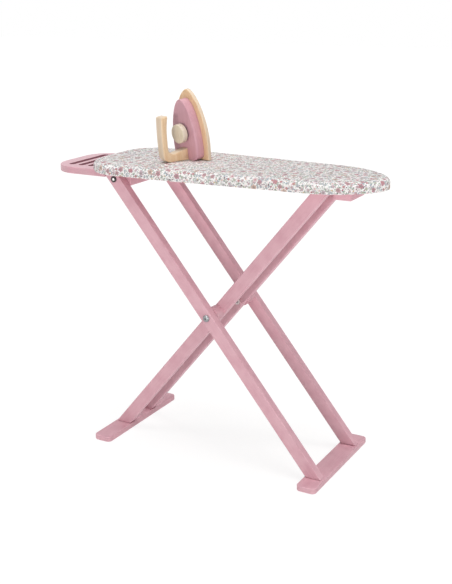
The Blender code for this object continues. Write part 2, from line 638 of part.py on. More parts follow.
def build_iron(pink, wood, knob, steel):
    """Sole, body, handle and dial, in a leaning frame: +X to the handle, the sole's inner face at X = 0."""
    seat = COVER_TOP + CROWN_HEIGHT + GAP
    base = add_empty("iron_base", (HINGE_X + IRON_REACH, IRON_OFFSET, seat), (0, 0, math.pi + IRON_TURN))
    frame = add_empty("iron_frame", (0, 0, 0), (0, IRON_LEAN, 0), base)
    sole_piece = add_piece("iron_soleplate", cut_level(leaf(SOLE_LENGTH, SOLE_WIDTH, -SOLE_THICKNESS, 0.0), 0.0),
                           wood, frame, bevel=SOLE_EDGE)
    body_piece = add_piece("iron_body", cut_level(leaf(BODY_LENGTH, BODY_WIDTH, GAP, BODY_THICKNESS), BODY_HEEL_LIFT),
                           pink, frame, bevel=BODY_EDGE)

    # The handle's arm lies level on the seat and its grip runs along the body.
    slope = math.tan(IRON_LEAN)
    root = BODY_THICKNESS + GAP
    inner = BODY_THICKNESS + HANDLE_GAP
    outer = inner + HANDLE_THICKNESS
    bend_x = outer + HANDLE_SPLAY - HANDLE_OUTER_RADIUS
    bend = (bend_x, bend_x * slope + HANDLE_OUTER_RADIUS / math.cos(IRON_LEAN))
    top = HANDLE_HEIGHT - HANDLE_TOP_RADIUS
    outline = [(root, root * slope)] + arc(bend, HANDLE_OUTER_RADIUS, math.degrees(IRON_LEAN) - 90, 0, 8)
    outline += arc((outer - HANDLE_TOP_RADIUS, top), HANDLE_TOP_RADIUS, 0, 90, 3)
    outline += arc((inner + HANDLE_TOP_RADIUS, top), HANDLE_TOP_RADIUS, 90, 180, 3)
    corner = (inner + HANDLE_SPLAY - HANDLE_INNER_RADIUS, HANDLE_ARM + HANDLE_INNER_RADIUS)
    outline += arc(corner, HANDLE_INNER_RADIUS, 0, -90, 6) + [(root, HANDLE_ARM + HANDLE_ARM_RISE)]
    handle_half = HANDLE_WIDTH / 2
    handle_piece = add_piece("iron_handle", upright_prism(outline, -handle_half, handle_half), wood, frame,
                             bevel=HANDLE_EDGE)

    # Dial on the body's face, turning on a pin fixed in the body
    face = BODY_THICKNESS + GAP
    rim = DIAL_DIAMETER / 2
    dial = turned([(rim, 0.0), (rim, DIAL_THICKNESS - DIAL_EDGE),
                   (rim - DIAL_EDGE * 0.3, DIAL_THICKNESS - DIAL_EDGE * 0.3), (rim - DIAL_EDGE, DIAL_THICKNESS)], 32)
    dial_axis = add_empty("dial_axis", (face, 0, DIAL_HEIGHT), parent=frame)
    dial_piece = add_piece("iron_dial", along(dial, (1, 0, 0), (0, 0, 0)), knob, dial_axis, smooth=True)
    pin_out = DIAL_THICKNESS / 2
    cut(dial_piece, rod(DIAL_PIN_DIAMETER + 2 * RUNNING, (-pin_out, 0, 0), (pin_out + GAP, 0, 0)))
    pin_in = face - DIAL_PIN_GRIP
    add_piece("dial_pin", rod(DIAL_PIN_DIAMETER, (pin_in, 0, DIAL_HEIGHT), (face + pin_out, 0, DIAL_HEIGHT)), steel,
              frame, smooth=True)

    # Dowels that join the handle and the sole to the body
    body_holes = [rod(DIAL_PIN_DIAMETER + 2 * GAP, (pin_in - GAP, 0, DIAL_HEIGHT), (outer, 0, DIAL_HEIGHT))]
    handle_middle = (root * slope + HANDLE_ARM) / 2
    joins = (("handle_dowel", handle_piece, root, handle_middle, HANDLE_DOWEL_PITCH),
             ("sole_dowel", sole_piece, 0.0, BODY_LENGTH / 2, SOLE_DOWEL_PITCH))
    for name, piece, x, middle, pitch in joins:
        holes = []
        for place, sign in (("upper", 1), ("lower", -1)):
            z = middle + sign * pitch / 2
            add_piece(name + "_" + place, rod(DOWEL_DIAMETER, (x - DOWEL_GRIP, 0, z), (x + DOWEL_GRIP, 0, z)), wood,
                      frame, smooth=True)
            for group in (holes, body_holes):
                group.append(rod(DOWEL_DIAMETER + 2 * GAP, (x - DOWEL_GRIP - GAP, 0, z),
                                 (x + DOWEL_GRIP + GAP, 0, z)))
        cut(piece, merged(holes))
    cut(body_piece, merged(body_holes))


def main():
    clear_scene()
    pink = make_material("pink_paint", "#D3A3AE", 0.5)
    wood = make_material("natural_wood", "#DDB98D", 0.55)
    knob = make_material("pale_wood", "#D8C8AC", 0.55)
    fabric = make_material("printed_cotton", "#E6DDD9", 0.9)
    foam = make_material("foam", "#F1EFE8", 0.95)
    elastic = make_material("elastic", "#F2F0EC", 0.9)
    steel = make_material("zinc_steel", "#B9BABC", 0.35, 1.0)
    dark = make_material("dark_washer", "#2F2A2A", 0.5)
    build_deck(pink, foam, fabric, elastic, steel)
    build_outer_legs(pink, steel, dark)
    build_inner_legs(pink, steel)
    build_iron(pink, wood, knob, steel)


main()
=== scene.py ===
# %% [markdown]
# # A toy ironing board, dressed
#
# The solids of the toy are already modelled and packed. This lesson gives them their looks: a printed cotton
# cover drawn over a foam pad, satin pink paint, lacquered beech and plated hardware. Everything is in metres
# and in the same place as the solids, so a new piece is computed where it belongs.

# %% Load the frame
import math

import bmesh
import bpy
import numpy as np
from mathutils import Matrix, Vector


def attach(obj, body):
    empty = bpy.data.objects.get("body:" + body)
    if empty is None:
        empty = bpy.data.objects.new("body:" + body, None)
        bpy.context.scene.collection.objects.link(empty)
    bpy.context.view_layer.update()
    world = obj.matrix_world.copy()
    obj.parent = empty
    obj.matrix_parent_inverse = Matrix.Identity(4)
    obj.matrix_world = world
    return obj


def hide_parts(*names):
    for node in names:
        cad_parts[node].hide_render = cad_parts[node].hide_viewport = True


MM = 0.001
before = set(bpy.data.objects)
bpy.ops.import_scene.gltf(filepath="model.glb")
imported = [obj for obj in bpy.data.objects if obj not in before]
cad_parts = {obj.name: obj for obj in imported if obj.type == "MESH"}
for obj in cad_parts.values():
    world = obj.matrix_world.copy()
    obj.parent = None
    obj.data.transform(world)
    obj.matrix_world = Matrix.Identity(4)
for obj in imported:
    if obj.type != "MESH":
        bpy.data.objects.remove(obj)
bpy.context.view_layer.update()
bpy.context.scene.view_settings.view_transform = "Standard"

# %% [markdown]
# ## Camera
#
# A camera is a place, a direction and a lens. The direction is given as an azimuth round the board, an
# elevation above the floor and a small roll, because those are easy to read and to change. The lens is
# worked out from the focal length in pixels: the sensor's 36 mm lie along the picture's height.

# %% Camera
PICTURE_HEIGHT, FOCAL_PIXELS = 584, 1020.9
EYE = (0.85040, -1.47264, 0.82004)
azimuth, elevation, roll = np.radians((29.70, 17.58, -0.60))


def direction(across, above):
    """The way out at an angle round the board from its front, and at an angle above the floor."""
    return np.array((np.sin(across) * np.cos(above), -np.cos(across) * np.cos(above), np.sin(above)))


def add_object(name, data):
    """A new object in the scene, unturned at the origin."""
    made = bpy.data.objects.new(name, data)
    bpy.context.scene.collection.objects.link(made)
    return made


backward = direction(azimuth, elevation)
sideways = np.array((np.cos(azimuth), np.sin(azimuth), 0.0))
upward = np.cross(backward, sideways)
tilted_side = np.cos(roll) * sideways + np.sin(roll) * upward
tilted_up = np.cos(roll) * upward - np.sin(roll) * sideways
camera_data = bpy.data.cameras.new("camera")
camera_data.sensor_width = 36.0
camera_data.lens = FOCAL_PIXELS * camera_data.sensor_width / PICTURE_HEIGHT
camera = add_object("camera", camera_data)
turned = np.eye(4)
turned[:3, :] = np.column_stack((tilted_side, tilted_up, backward, EYE))
camera.matrix_world = Matrix(turned.tolist())
bpy.context.scene.camera = camera
print("lens", round(camera_data.lens, 2), "mm")

# %% [markdown]
# ## Small tools for materials
#
# Colours are written as the hex values a paint chart gives, and the renderer wants linear light, so a
# function turns one into the other. Another adds a node to a material: its settings by name, and for each
# input either a value or the node or socket that feeds it. The part that feeds inputs also serves the shader
# that a new material already has.

# %% Colour and node tools
# The setting that makes a Mix node mix colours.
COLOURS = {"data_type": "RGBA"}


def linear(hex_colour):
    """Linear RGBA of an sRGB hex colour: each channel through the sRGB curve."""
    channels = np.array([int(hex_colour[i:i + 2], 16) for i in (1, 3, 5)]) / 255
    light = np.where(channels <= 0.04045, channels / 12.92, ((channels + 0.055) / 1.055) ** 2.4)
    return (*light.tolist(), 1.0)


def feed(made, **inputs):
    """Values and links for a node's inputs: one named in0, in1 and so on by its number, others by name."""
    for name, value in inputs.items():
        socket = made.inputs[int(name[2:])] if name[:2] == "in" else made.inputs[name.replace("_", " ")]
        if isinstance(value, bpy.types.Node):
            value = next(output for output in value.outputs if output.enabled)
        if isinstance(value, bpy.types.NodeSocket):
            made.id_data.links.new(value, socket)
        else:
            socket.default_value = value


def node(tree, kind, settings=None, **inputs):
    """One node with its settings and inputs. Settings that are a single word are the node's operation."""
    made = tree.nodes.new("ShaderNode" + kind)
    if isinstance(settings, str):
        settings = {"operation": settings}
    for name, value in (settings or {}).items():
        setattr(made, name, value)
    feed(made, **inputs)
    return made


def new_material(name):
    """An empty material with its shader and its Object coordinates in millimetres."""
    material = bpy.data.materials.new(name)
    material.use_nodes = True
    tree = material.node_tree
    shader = tree.nodes["Principled BSDF"]
    place = node(tree, "TexCoord")
    in_mm = node(tree, "VectorMath", "SCALE", in0=place.outputs["Object"], Scale=1000.0)
    return material, tree, shader, in_mm


print("mid grey is", round(linear("#808080")[0], 3), "of white")

# %% [markdown]
# ## Stage and light
#
# The toy stands on a plain white floor. A camera ray sees the floor lifted by its own glow, so that it
# meets the white world without a horizon, and its diffuse share still takes the toy's shadow. Light that
# bounces sees only a pale floor. A white room fills the shade, and it is brighter at the right, where a
# studio's large soft box would stand. Three lamps shape the toy: one low in front, one low at the right and
# one above. Together they reach a level where a colour renders about as it is written.

# %% Floor
FLOOR_HALF = 9.0
BOUNCE_GLOW, SEEN_GLOW = 0.22, 0.86
WHITE = (1.0, 1.0, 1.0, 1.0)


def seen_straight(tree):
    """1 where the camera looks, straight or by a mirror or glass, and 0 where light only bounces."""
    ray = node(tree, "LightPath")
    seen = node(tree, "Math", "MAXIMUM", in0=ray.outputs["Is Camera Ray"], in1=ray.outputs["Is Glossy Ray"])
    return node(tree, "Math", "MAXIMUM", in0=seen, in1=ray.outputs["Is Transmission Ray"])


corners = np.array(((-1, -1, 0), (1, -1, 0), (1, 1, 0), (-1, 1, 0))) * FLOOR_HALF
floor_mesh = bpy.data.meshes.new("floor")
floor_mesh.from_pydata(corners.tolist(), [], [(0, 1, 2, 3)])
floor = add_object("floor", floor_mesh)

floor_paint = bpy.data.materials.new("white_floor")
floor_paint.use_nodes = True
tree = floor_paint.node_tree
seen = seen_straight(tree)
glow = node(tree, "MapRange", Value=seen, To_Min=BOUNCE_GLOW, To_Max=SEEN_GLOW)
pale = node(tree, "Mix", COLOURS, in0=seen, in6=linear("#E8E6E4"), in7=linear("#7A7978"))
feed(tree.nodes["Principled BSDF"], Base_Color=pale, Roughness=1.0, Specular_IOR_Level=0.0,
     Emission_Color=WHITE, Emission_Strength=glow)
floor_mesh.materials.append(floor_paint)
print("floor", 2 * FLOOR_HALF, "m square")

# %% Room
ROOM_DARK, ROOM_BRIGHT = 0.03, 0.38
world = bpy.data.worlds.new("white_room")
bpy.context.scene.world = world
world.use_nodes = True
tree = world.node_tree
place = node(tree, "TexCoord")
bright_side = direction(math.radians(70), 0.0)
lit_side = node(tree, "VectorMath", "DOT_PRODUCT", in0=place.outputs["Generated"], in1=bright_side)
fill = node(tree, "MapRange", Value=lit_side, From_Min=-1.0, To_Min=ROOM_DARK, To_Max=ROOM_BRIGHT)
strength = node(tree, "Mix", in0=seen_straight(tree), in2=fill, in3=1.0)
feed(tree.nodes["Background"], Color=WHITE, Strength=strength)
print("room light", ROOM_DARK, "to", ROOM_BRIGHT)

# %% Lamps
# Each has its angle round from the front, its angle above the floor and its width, in degrees, and its level.
soft_boxes = {"front": (5, 2, 11, 0.27), "right": (68, 5, 50, 0.22), "above": (0, 88, 40, 0.79)}
for name, (across, above, width, level) in soft_boxes.items():
    lamp_data = bpy.data.lights.new("soft_box_" + name, "SUN")
    lamp_data.energy = level * math.pi
    lamp_data.angle = math.radians(width)
    lamp = add_object("soft_box_" + name, lamp_data)
    towards = Vector(direction(math.radians(across), math.radians(above)))
    lamp.rotation_euler = towards.to_track_quat("Z", "Y").to_euler()
print("lamps", len(soft_boxes))

# %% [markdown]
# ## Painted wood
#
# The legs, feet, rest and blocks are planed hardwood under a satin, sprayed, dusty pink paint. The paint
# hides the wood's colour but not all of its grain, which stays as long shallow lines. Sprayed paint is a
# little uneven, so its colour and gloss drift over a few centimetres. Along sharp edges the colour is
# lighter: partly the paint pulled thin there, partly a painted highlight where a rounded edge catches the
# light. The grain has to run along each piece, so the material is made once for each direction.

# %% Satin pink paint
# The pale shade serves the grain's light streaks and the painted highlight along sharp edges.
PINK, PINK_STREAK_AND_HIGHLIGHT, PINK_THICK = "#D7A8B2", "#E3BAC3", "#CD99A5"
# Sizes in millimetres.
MOTTLE, FIBRE_LONG, FIBRE_WIDE, SPRAY = 24, 45, 1.6, 0.9


def along_grain(tree, in_mm, grain):
    """The place in millimetres, turned so that X runs along the grain."""
    turn = Vector(grain).normalized().rotation_difference(Vector((1, 0, 0))).to_euler()
    return node(tree, "Mapping", Vector=in_mm, Rotation=turn)


def sharp_edges(tree, radius, flat, turned, most):
    """A mask that grows to most at sharp edges: the cosine between a face's normal and the normal of an edge
    rounded by a radius, as it falls from flat to turned."""
    rounded = node(tree, "Bevel", {"samples": 4}, Radius=radius)
    face = node(tree, "NewGeometry")
    cosine = node(tree, "VectorMath", "DOT_PRODUCT", in0=rounded, in1=face.outputs["Normal"])
    return node(tree, "MapRange", Value=cosine, From_Min=flat, From_Max=turned, To_Max=most)


def pink_paint(name, grain, coat=PINK, thin_and_lit=0.4, smooth=0.42):
    """Satin paint over wood whose grain runs along a direction: mottle in centimetres, fibres and spray in
    millimetres, and a share of lighter colour along sharp edges, partly thin paint and partly a painted
    highlight."""
    material, tree, shader, in_mm = new_material(name)
    along = along_grain(tree, in_mm, grain)
    mottle = node(tree, "TexNoise", Vector=in_mm, Scale=1 / MOTTLE, Detail=3.0)
    fibres = (1 / FIBRE_LONG, 1 / FIBRE_WIDE, 1 / FIBRE_WIDE)
    stretched = node(tree, "VectorMath", "MULTIPLY", in0=along, in1=fibres)
    fibre = node(tree, "TexNoise", Vector=stretched, Scale=1.0, Detail=4.0, Roughness=0.6)
    spray = node(tree, "TexNoise", Vector=in_mm, Scale=1 / SPRAY, Detail=1.0)
    share = node(tree, "MapRange", Value=mottle, From_Min=0.3, From_Max=0.6)
    tone = node(tree, "Mix", COLOURS, in0=share, in6=linear(PINK_THICK), in7=linear(coat))
    streak = node(tree, "MapRange", Value=fibre, From_Min=0.36, From_Max=0.7, To_Max=0.35)
    grained = node(tree, "Mix", COLOURS, in0=streak, in6=tone, in7=linear(PINK_STREAK_AND_HIGHLIGHT))
    # Lighter colour along sharp edges: partly thin paint, partly a painted highlight.
    edge = sharp_edges(tree, 1.4 * MM, 0.99, 0.86, thin_and_lit)
    thin_and_lit_edges = node(tree, "Mix", COLOURS, in0=edge, in6=grained, in7=linear(PINK_STREAK_AND_HIGHLIGHT))
    gloss = node(tree, "MapRange", Value=mottle, To_Min=smooth, To_Max=smooth + 0.14)
    relief = node(tree, "Math", "MULTIPLY_ADD", in0=spray, in1=0.35, in2=fibre)
    bump = node(tree, "Bump", Strength=0.35, Distance=0.25 * MM, Height=relief)
    feed(shader, Base_Color=thin_and_lit_edges, Roughness=gloss, IOR=1.5, Normal=bump)
    return material


OUTER_ANGLE, INNER_ANGLE = math.radians(51.2), math.radians(50.3)
IRON_UP = (-0.0429, -0.1178, 0.9921)
# A paint's share of lighter colour along edges is partly thin paint and partly a painted highlight.
outer_paint = pink_paint("pink_paint_outer_legs", (math.cos(OUTER_ANGLE), 0, -math.sin(OUTER_ANGLE)))
inner_paint = pink_paint("pink_paint_inner_legs", (math.cos(INNER_ANGLE), 0, math.sin(INNER_ANGLE)))
cross_paint = pink_paint("pink_paint_cross_pieces", (0, 1, 0), thin_and_lit=0.65)
iron_paint = pink_paint("pink_paint_iron", IRON_UP, "#C5929D", 0.12)
print("paints: 4 grain directions")

# %% [markdown]
# ## The rest's slots
#
# The narrow slots of the iron rest lie in deep shade, and that shade is painted into the rest's colour. The
# rest has the same paint as the other cross pieces, a little darker, which paints in shade as well, and
# smoother. A mask adds the painted shade: it is 1 within the slots' box, on faces that look neither up nor
# down.

# %% Paint of the iron rest
SLOTS_MIDDLE, SLOTS_HALF = (-250.75 * MM, 0.0, 0.0), (26.9 * MM, 55.4 * MM)
LOOKS_UP = 0.6


def lay_over(material, mask, hex_colour):
    """Another colour over a material's own colour, where a mask is 1."""
    tree = material.node_tree
    shader = tree.nodes["Principled BSDF"]
    own = shader.inputs["Base Color"].links[0].from_socket
    feed(shader, Base_Color=node(tree, "Mix", COLOURS, in0=mask, in6=own, in7=linear(hex_colour)))


# The rest's coat is a little darker, as painted shade, and its edges get little painted highlight.
rest_paint = pink_paint("pink_paint_rest", (0, 1, 0), "#CB9FA8", 0.1, 0.28)
tree = rest_paint.node_tree
place = node(tree, "TexCoord")
away = node(tree, "VectorMath", "SUBTRACT", in0=place.outputs["Object"], in1=SLOTS_MIDDLE)
away = node(tree, "VectorMath", "ABSOLUTE", in0=away)
parts = node(tree, "SeparateXYZ", Vector=away)
looks = node(tree, "SeparateXYZ", Vector=place.outputs["Normal"])
upright = node(tree, "Math", "ABSOLUTE", in0=looks.outputs["Z"])
mask = node(tree, "Math", "LESS_THAN", in0=upright, in1=LOOKS_UP)
for axis, half in zip("XY", SLOTS_HALF):
    within = node(tree, "Math", "LESS_THAN", in0=parts.outputs[axis], in1=half)
    mask = node(tree, "Math", "MULTIPLY", in0=mask, in1=within)
# Painted shade: the slots' walls are darkened where little light reaches them.
lay_over(rest_paint, mask, "#A8737F")
print("rest paint: nodes", len(tree.nodes))

# %% [markdown]
# ## Beech
#
# The iron's sole and grip are steamed beech under a clear matt lacquer: warm straw brown, with soft bands
# along the grain and the short dark flecks that beech always shows. A plank's sawn edges are painted paler
# and greyer than its faces, and sharp edges paler still: partly the wood's own edge grain, partly a painted
# highlight where the edges catch the light. The sole's plank lies across the iron and the grip's stands
# along it, so each has its own material. The dial is the same wood left bare.

# %% Lacquered beech and bare beech
SAWN_PALE_AND_LIT, EDGE_PALE_AND_LIT = "#DCCFBE", "#F1E6D8"
IRON_OUT = np.array((-0.339323, -0.932283, -0.125333))
IRON_SIDE = np.cross(IRON_UP, IRON_OUT)


def beech(name, grain, plank, pale, mid, dark, roughness):
    """Bands of about 5 mm along the grain and flecks of about 0.7 x 4 mm. A face is an edge of the plank
    where its normal is square to the plank's own; such faces and sharp edges are painted paler, partly as a
    painted highlight."""
    material, tree, shader, in_mm = new_material(name)
    along = along_grain(tree, in_mm, grain)
    long = node(tree, "VectorMath", "MULTIPLY", in0=along, in1=(1 / 60, 1 / 5, 1 / 5))
    band = node(tree, "TexNoise", Vector=long, Scale=1.0, Detail=4.0, Distortion=0.6)
    short = node(tree, "VectorMath", "MULTIPLY", in0=along, in1=(1 / 4, 1 / 0.7, 1 / 0.7))
    fleck = node(tree, "TexNoise", Vector=short, Scale=1.0)
    banded = node(tree, "MapRange", Value=band, From_Min=0.32, From_Max=0.68)
    tone = node(tree, "Mix", COLOURS, in0=banded, in6=linear(mid), in7=linear(pale))
    flecked = node(tree, "MapRange", Value=fleck, From_Min=0.6, From_Max=0.74, To_Max=0.6)
    colour = node(tree, "Mix", COLOURS, in0=flecked, in6=tone, in7=linear(dark))
    place = node(tree, "TexCoord")
    broad = node(tree, "VectorMath", "DOT_PRODUCT", in0=place.outputs["Normal"], in1=plank)
    broad = node(tree, "Math", "ABSOLUTE", in0=broad)
    # Paler, greyer plank edges and paler sharp edges: partly edge grain, partly a painted highlight.
    sawn = node(tree, "MapRange", Value=broad, From_Min=0.75, From_Max=0.35, To_Max=0.6)
    edged = node(tree, "Mix", COLOURS, in0=sawn, in6=colour, in7=linear(SAWN_PALE_AND_LIT))
    edge = sharp_edges(tree, 2.0 * MM, 1.0, 0.85, 0.55)
    edges_pale_and_lit = node(tree, "Mix", COLOURS, in0=edge, in6=edged, in7=linear(EDGE_PALE_AND_LIT))
    relief = node(tree, "Math", "MULTIPLY_ADD", in0=band, in1=0.5, in2=fleck)
    bump = node(tree, "Bump", Strength=0.3, Distance=0.2 * MM, Height=relief)
    feed(shader, Base_Color=edges_pale_and_lit, Roughness=roughness, Normal=bump)
    return material


sole_beech = beech("lacquered_beech_sole", IRON_UP, IRON_OUT, "#EBCDA8", "#E1BB8D", "#C69A68", 0.48)
grip_beech = beech("lacquered_beech_grip", IRON_UP, IRON_SIDE, "#E9CDAA", "#DEBB90", "#C2986B", 0.48)
dial_beech = beech("bare_beech_dial", IRON_UP, IRON_OUT, "#E8DDC8", "#D8C9AE", "#B7A384", 0.62)
print("beech: sole, grip and dial")

# %% [markdown]
# ## Metal and nylon
#
# Bolts and screws are steel with a bright zinc plating, which is barely mottled and a little rough from the
# barrel it was plated in. The hinge bolts and the pivot's nuts are nickel-plated, so they shine almost white
# in a white room. The ring round each hinge bolt is black moulded nylon. To the eye all of these, like the
# foam, elastic and thread below, are two close shades over a fine pattern.

# %% Zinc plate, nickel plate and black nylon
def mottled(name, grain, dark, light, roughness, relief=None, kind="TexNoise", detail=2.0, metallic=0.0):
    """Two shades over a pattern of a grain in millimetres. The roughness is one, or a pair that drifts with
    the pattern, and the relief is a bump's strength and its depth in millimetres."""
    material, tree, shader, in_mm = new_material(name)
    pattern = node(tree, kind, Vector=in_mm, Scale=1 / grain, Detail=detail)
    shade = node(tree, "Mix", COLOURS, in0=pattern, in6=linear(dark), in7=linear(light))
    if isinstance(roughness, tuple):
        roughness = node(tree, "MapRange", Value=pattern, To_Min=roughness[0], To_Max=roughness[1])
    feed(shader, Base_Color=shade, Roughness=roughness, Metallic=metallic)
    if relief:
        feed(shader, Normal=node(tree, "Bump", Strength=relief[0], Distance=relief[1] * MM, Height=pattern))
    return material


plating = {"relief": (0.15, 0.1), "detail": 3.0, "metallic": 1.0}
zinc = mottled("zinc_plated_steel", 0.8, "#85878A", "#AEB0B1", (0.26, 0.44), **plating)
nickel = mottled("nickel_plated_steel", 0.8, "#DEDDDA", "#F4F3F0", (0.3, 0.45), **plating)
nylon = mottled("black_nylon", 1.5, "#262222", "#3A3434", 0.45, (0.2, 0.1))
print("metal: zinc and nickel; ring: nylon")

# %% [markdown]
# ## Wooden pieces and hardware
#
# The solids already have the right shapes, with their holes and eased edges, but they come as loose
# triangles, so their round faces would show facets. A copy with its corners joined can be shaded smoothly:
# edges that turn sharply stay sharp, and each corner's normal leans to its largest face, which keeps the
# flats flat and rolls the light over the small roundings.

# %% Smoothly shaded copies
CREASE = 50.0


def finished_copy(solid, material, body):
    """The solid's triangles with shared corners: corners within a hundredth of a millimetre are one."""
    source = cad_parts[solid].data
    corners = np.empty(len(source.vertices) * 3)
    source.vertices.foreach_get("co", corners)
    corners = corners.reshape(-1, 3)
    loops = np.empty(len(source.loops), int)
    source.loops.foreach_get("vertex_index", loops)
    grid = np.round(corners / (0.01 * MM)).astype(np.int64)
    first, joined = np.unique(grid, axis=0, return_index=True, return_inverse=True)[1:]
    triangles = joined.reshape(-1)[loops].reshape(-1, 3)
    real = (triangles != np.roll(triangles, 1, axis=1)).all(axis=1)
    mesh = bpy.data.meshes.new(solid + "_finished")
    mesh.from_pydata(corners[first].tolist(), [], triangles[real].tolist())
    mesh.shade_smooth()
    mesh.set_sharp_from_angle(angle=math.radians(CREASE))
    mesh.materials.append(material)
    piece = add_object(solid + "_finished", mesh)
    weighted = piece.modifiers.new("weighted", "WEIGHTED_NORMAL")
    weighted.keep_sharp = True
    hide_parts(solid)
    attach(piece, body)
    return piece


finishes = (
    ("outer_legs", "pink_paint", outer_paint, "outer_leg_near outer_leg_far"),
    ("inner_legs", "pink_paint", inner_paint, "inner_leg_near inner_leg_far"),
    ("outer_legs", "pink_paint", cross_paint, "outer_foot pivot_spacer_near pivot_spacer_far"),
    ("inner_legs", "pink_paint", cross_paint, "inner_foot inner_crossbar"),
    ("board", "pink_paint", rest_paint, "iron_rest"),
    ("board", "pink_paint", cross_paint, "hinge_block catch_block deck_board"),
    ("iron", "natural_wood", sole_beech, "iron_soleplate"),
    ("board", "zinc_steel", nickel, "hinge_bolt_near hinge_bolt_far"),
    ("board", "dark_washer", nylon, "hinge_washer_near hinge_washer_far"),
    ("outer_legs", "zinc_steel", zinc, "pivot_bolt_near pivot_bolt_far"),
    ("outer_legs", "zinc_steel", nickel, "pivot_nut_near pivot_nut_far"),
)
copies = [finished_copy(solid, material, body)
          for body, slot, material, solids in finishes for solid in solids.split()]
print("copies:", len(copies))

# %% Solids that stay as they are
plain = {"screw": zinc, "dial_pin": zinc, "dowel": sole_beech}
for solid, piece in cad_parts.items():
    for word, material in plain.items():
        if word in solid:
            piece.data.materials.clear()
            piece.data.materials.append(material)
print("plain finishes:", len(plain))

# %% [markdown]
# ## Surfaces from grids
#
# Every new piece below is a grid of points: a function of two parameters, or a profile carried along a
# path. The points of a grid are one array, its quads are index arithmetic, and a mesh takes both at once.

# %% Grid to mesh
def sheet_faces(rows, columns, closed_rows=False, closed_columns=True):
    """Quads of a grid of rows x columns, as four index arrays side by side."""
    across = np.arange(columns if closed_columns else columns - 1)
    down = np.arange(rows if closed_rows else rows - 1)
    i, j = np.meshgrid(down, across, indexing="ij")
    i2, j2 = (i + 1) % rows, (j + 1) % columns
    quads = (i * columns + j, i2 * columns + j, i2 * columns + j2, i * columns + j2)
    return np.stack(quads, -1).reshape(-1, 4)


def add_surface(name, points, material, faces=None, cloth=None, ends=(), crease=None):
    """An object from grid points. Its faces are the grid's quads, unless they are given, and its end faces.
    Doubled points are joined, edges that turn more than the crease stay sharp, and the flat cloth's place,
    where given, is its UV map."""
    faces = sheet_faces(*points.shape[:2]) if faces is None else faces
    mesh = bpy.data.meshes.new(name)
    mesh.from_pydata(points.reshape(-1, 3).tolist(), [], faces.tolist() + [end.tolist() for end in ends])
    if cloth is not None:
        layer = mesh.uv_layers.new(name="cut")
        loops = np.empty(len(mesh.loops), int)
        mesh.loops.foreach_get("vertex_index", loops)
        layer.data.foreach_set("uv", cloth.reshape(-1, 2)[loops].astype(np.float32).ravel())
    work = bmesh.new()
    work.from_mesh(mesh)
    bmesh.ops.remove_doubles(work, verts=work.verts, dist=0.002 * MM)
    bmesh.ops.dissolve_degenerate(work, edges=work.edges, dist=0.002 * MM)
    bmesh.ops.recalc_face_normals(work, faces=work.faces)
    work.to_mesh(mesh)
    work.free()
    mesh.shade_smooth()
    if crease:
        mesh.set_sharp_from_angle(angle=math.radians(crease))
    mesh.materials.append(material)
    return add_object(name, mesh)


print("grid of 3 x 4 has", len(sheet_faces(3, 4)), "quads")

# %% Outlines
def arc(centre, radius, start, end, count=24):
    """Points of an arc from one angle in degrees to another."""
    angle = np.radians(np.linspace(start, end, count))
    return np.column_stack((centre[0] + radius * np.cos(angle), centre[1] + radius * np.sin(angle)))


def run_along(line):
    """The distance along a line to each of its points."""
    return np.concatenate(([0], np.cumsum(np.linalg.norm(np.diff(line, axis=0), axis=1))))


def points_at(line, places):
    """Points of a line at distances along it."""
    run = run_along(line)
    return np.column_stack([np.interp(places, run, axis) for axis in line.T])


def even_steps(line, count):
    """Points at equal steps round a closed line, and the distance along to each."""
    steps = np.linspace(0, run_along(line)[-1], count, endpoint=False)
    return points_at(line, steps), steps


def tangent_and_away(outline):
    """Unit tangents of a closed outline, from the two neighbours of each point, and normals that look out."""
    tangent = np.roll(outline, -1, 0) - np.roll(outline, 1, 0)
    tangent /= np.linalg.norm(tangent, axis=1)[:, None]
    return tangent, np.column_stack((tangent[:, 1], -tangent[:, 0]))


print("a quarter circle of radius 1 is", round(run_along(arc((0, 0), 1, 0, 90))[-1], 3), "long")

# %% [markdown]
# ## The iron's grip
#
# The grip is sawn from a plank as a J and sanded by hand, so its edges are rounder than a cutter leaves them.
# It is computed as the J's outline, carried across the plank's width: near each side the outline is drawn in
# along a quarter circle. Against the body it keeps its sawn corners. The iron has its own directions: out
# to the grip, sideways and up along the body, all measured from the dial's seat.

# %% Outline of the grip
DIAL_SEAT = np.array((-65.451, -8.385, 556.508)) * MM
FACE, DIAL_HEIGHT, LEAN = 16.3 * MM, 48.3 * MM, math.radians(7.2)
GRIP_INNER, GRIP_OUTER, GRIP_TOP, GRIP_HALF = 52.3 * MM, 63.8 * MM, 85 * MM, 7.9 * MM
ARM_HEIGHT, ARM_RISE, SPLAY, BEND = 19.5 * MM, 3.4 * MM, 3 * MM, 15 * MM
HOLLOW, TOP_ROUND, GRIP_ROUND = 10.5 * MM, 3.0 * MM, 2.4 * MM
BOW_START, FLARE_START, GRIP_MIDDLE = 15 * MM, 56 * MM, GRIP_OUTER - 6 * MM
BOW, TOP_BACK, FLARE, FLARE_SIDE = 0.8 * MM, 1.0 * MM, 2.5 * MM, 0.08


def iron_place(out, side, up):
    """Points of the iron, from distances out of its sole, to its side and up from its heel."""
    out, side, up = np.broadcast_arrays(out, side, up)
    return (DIAL_SEAT + (out - FACE)[..., None] * IRON_OUT + side[..., None] * IRON_SIDE
            + (up - DIAL_HEIGHT)[..., None] * np.array(IRON_UP))


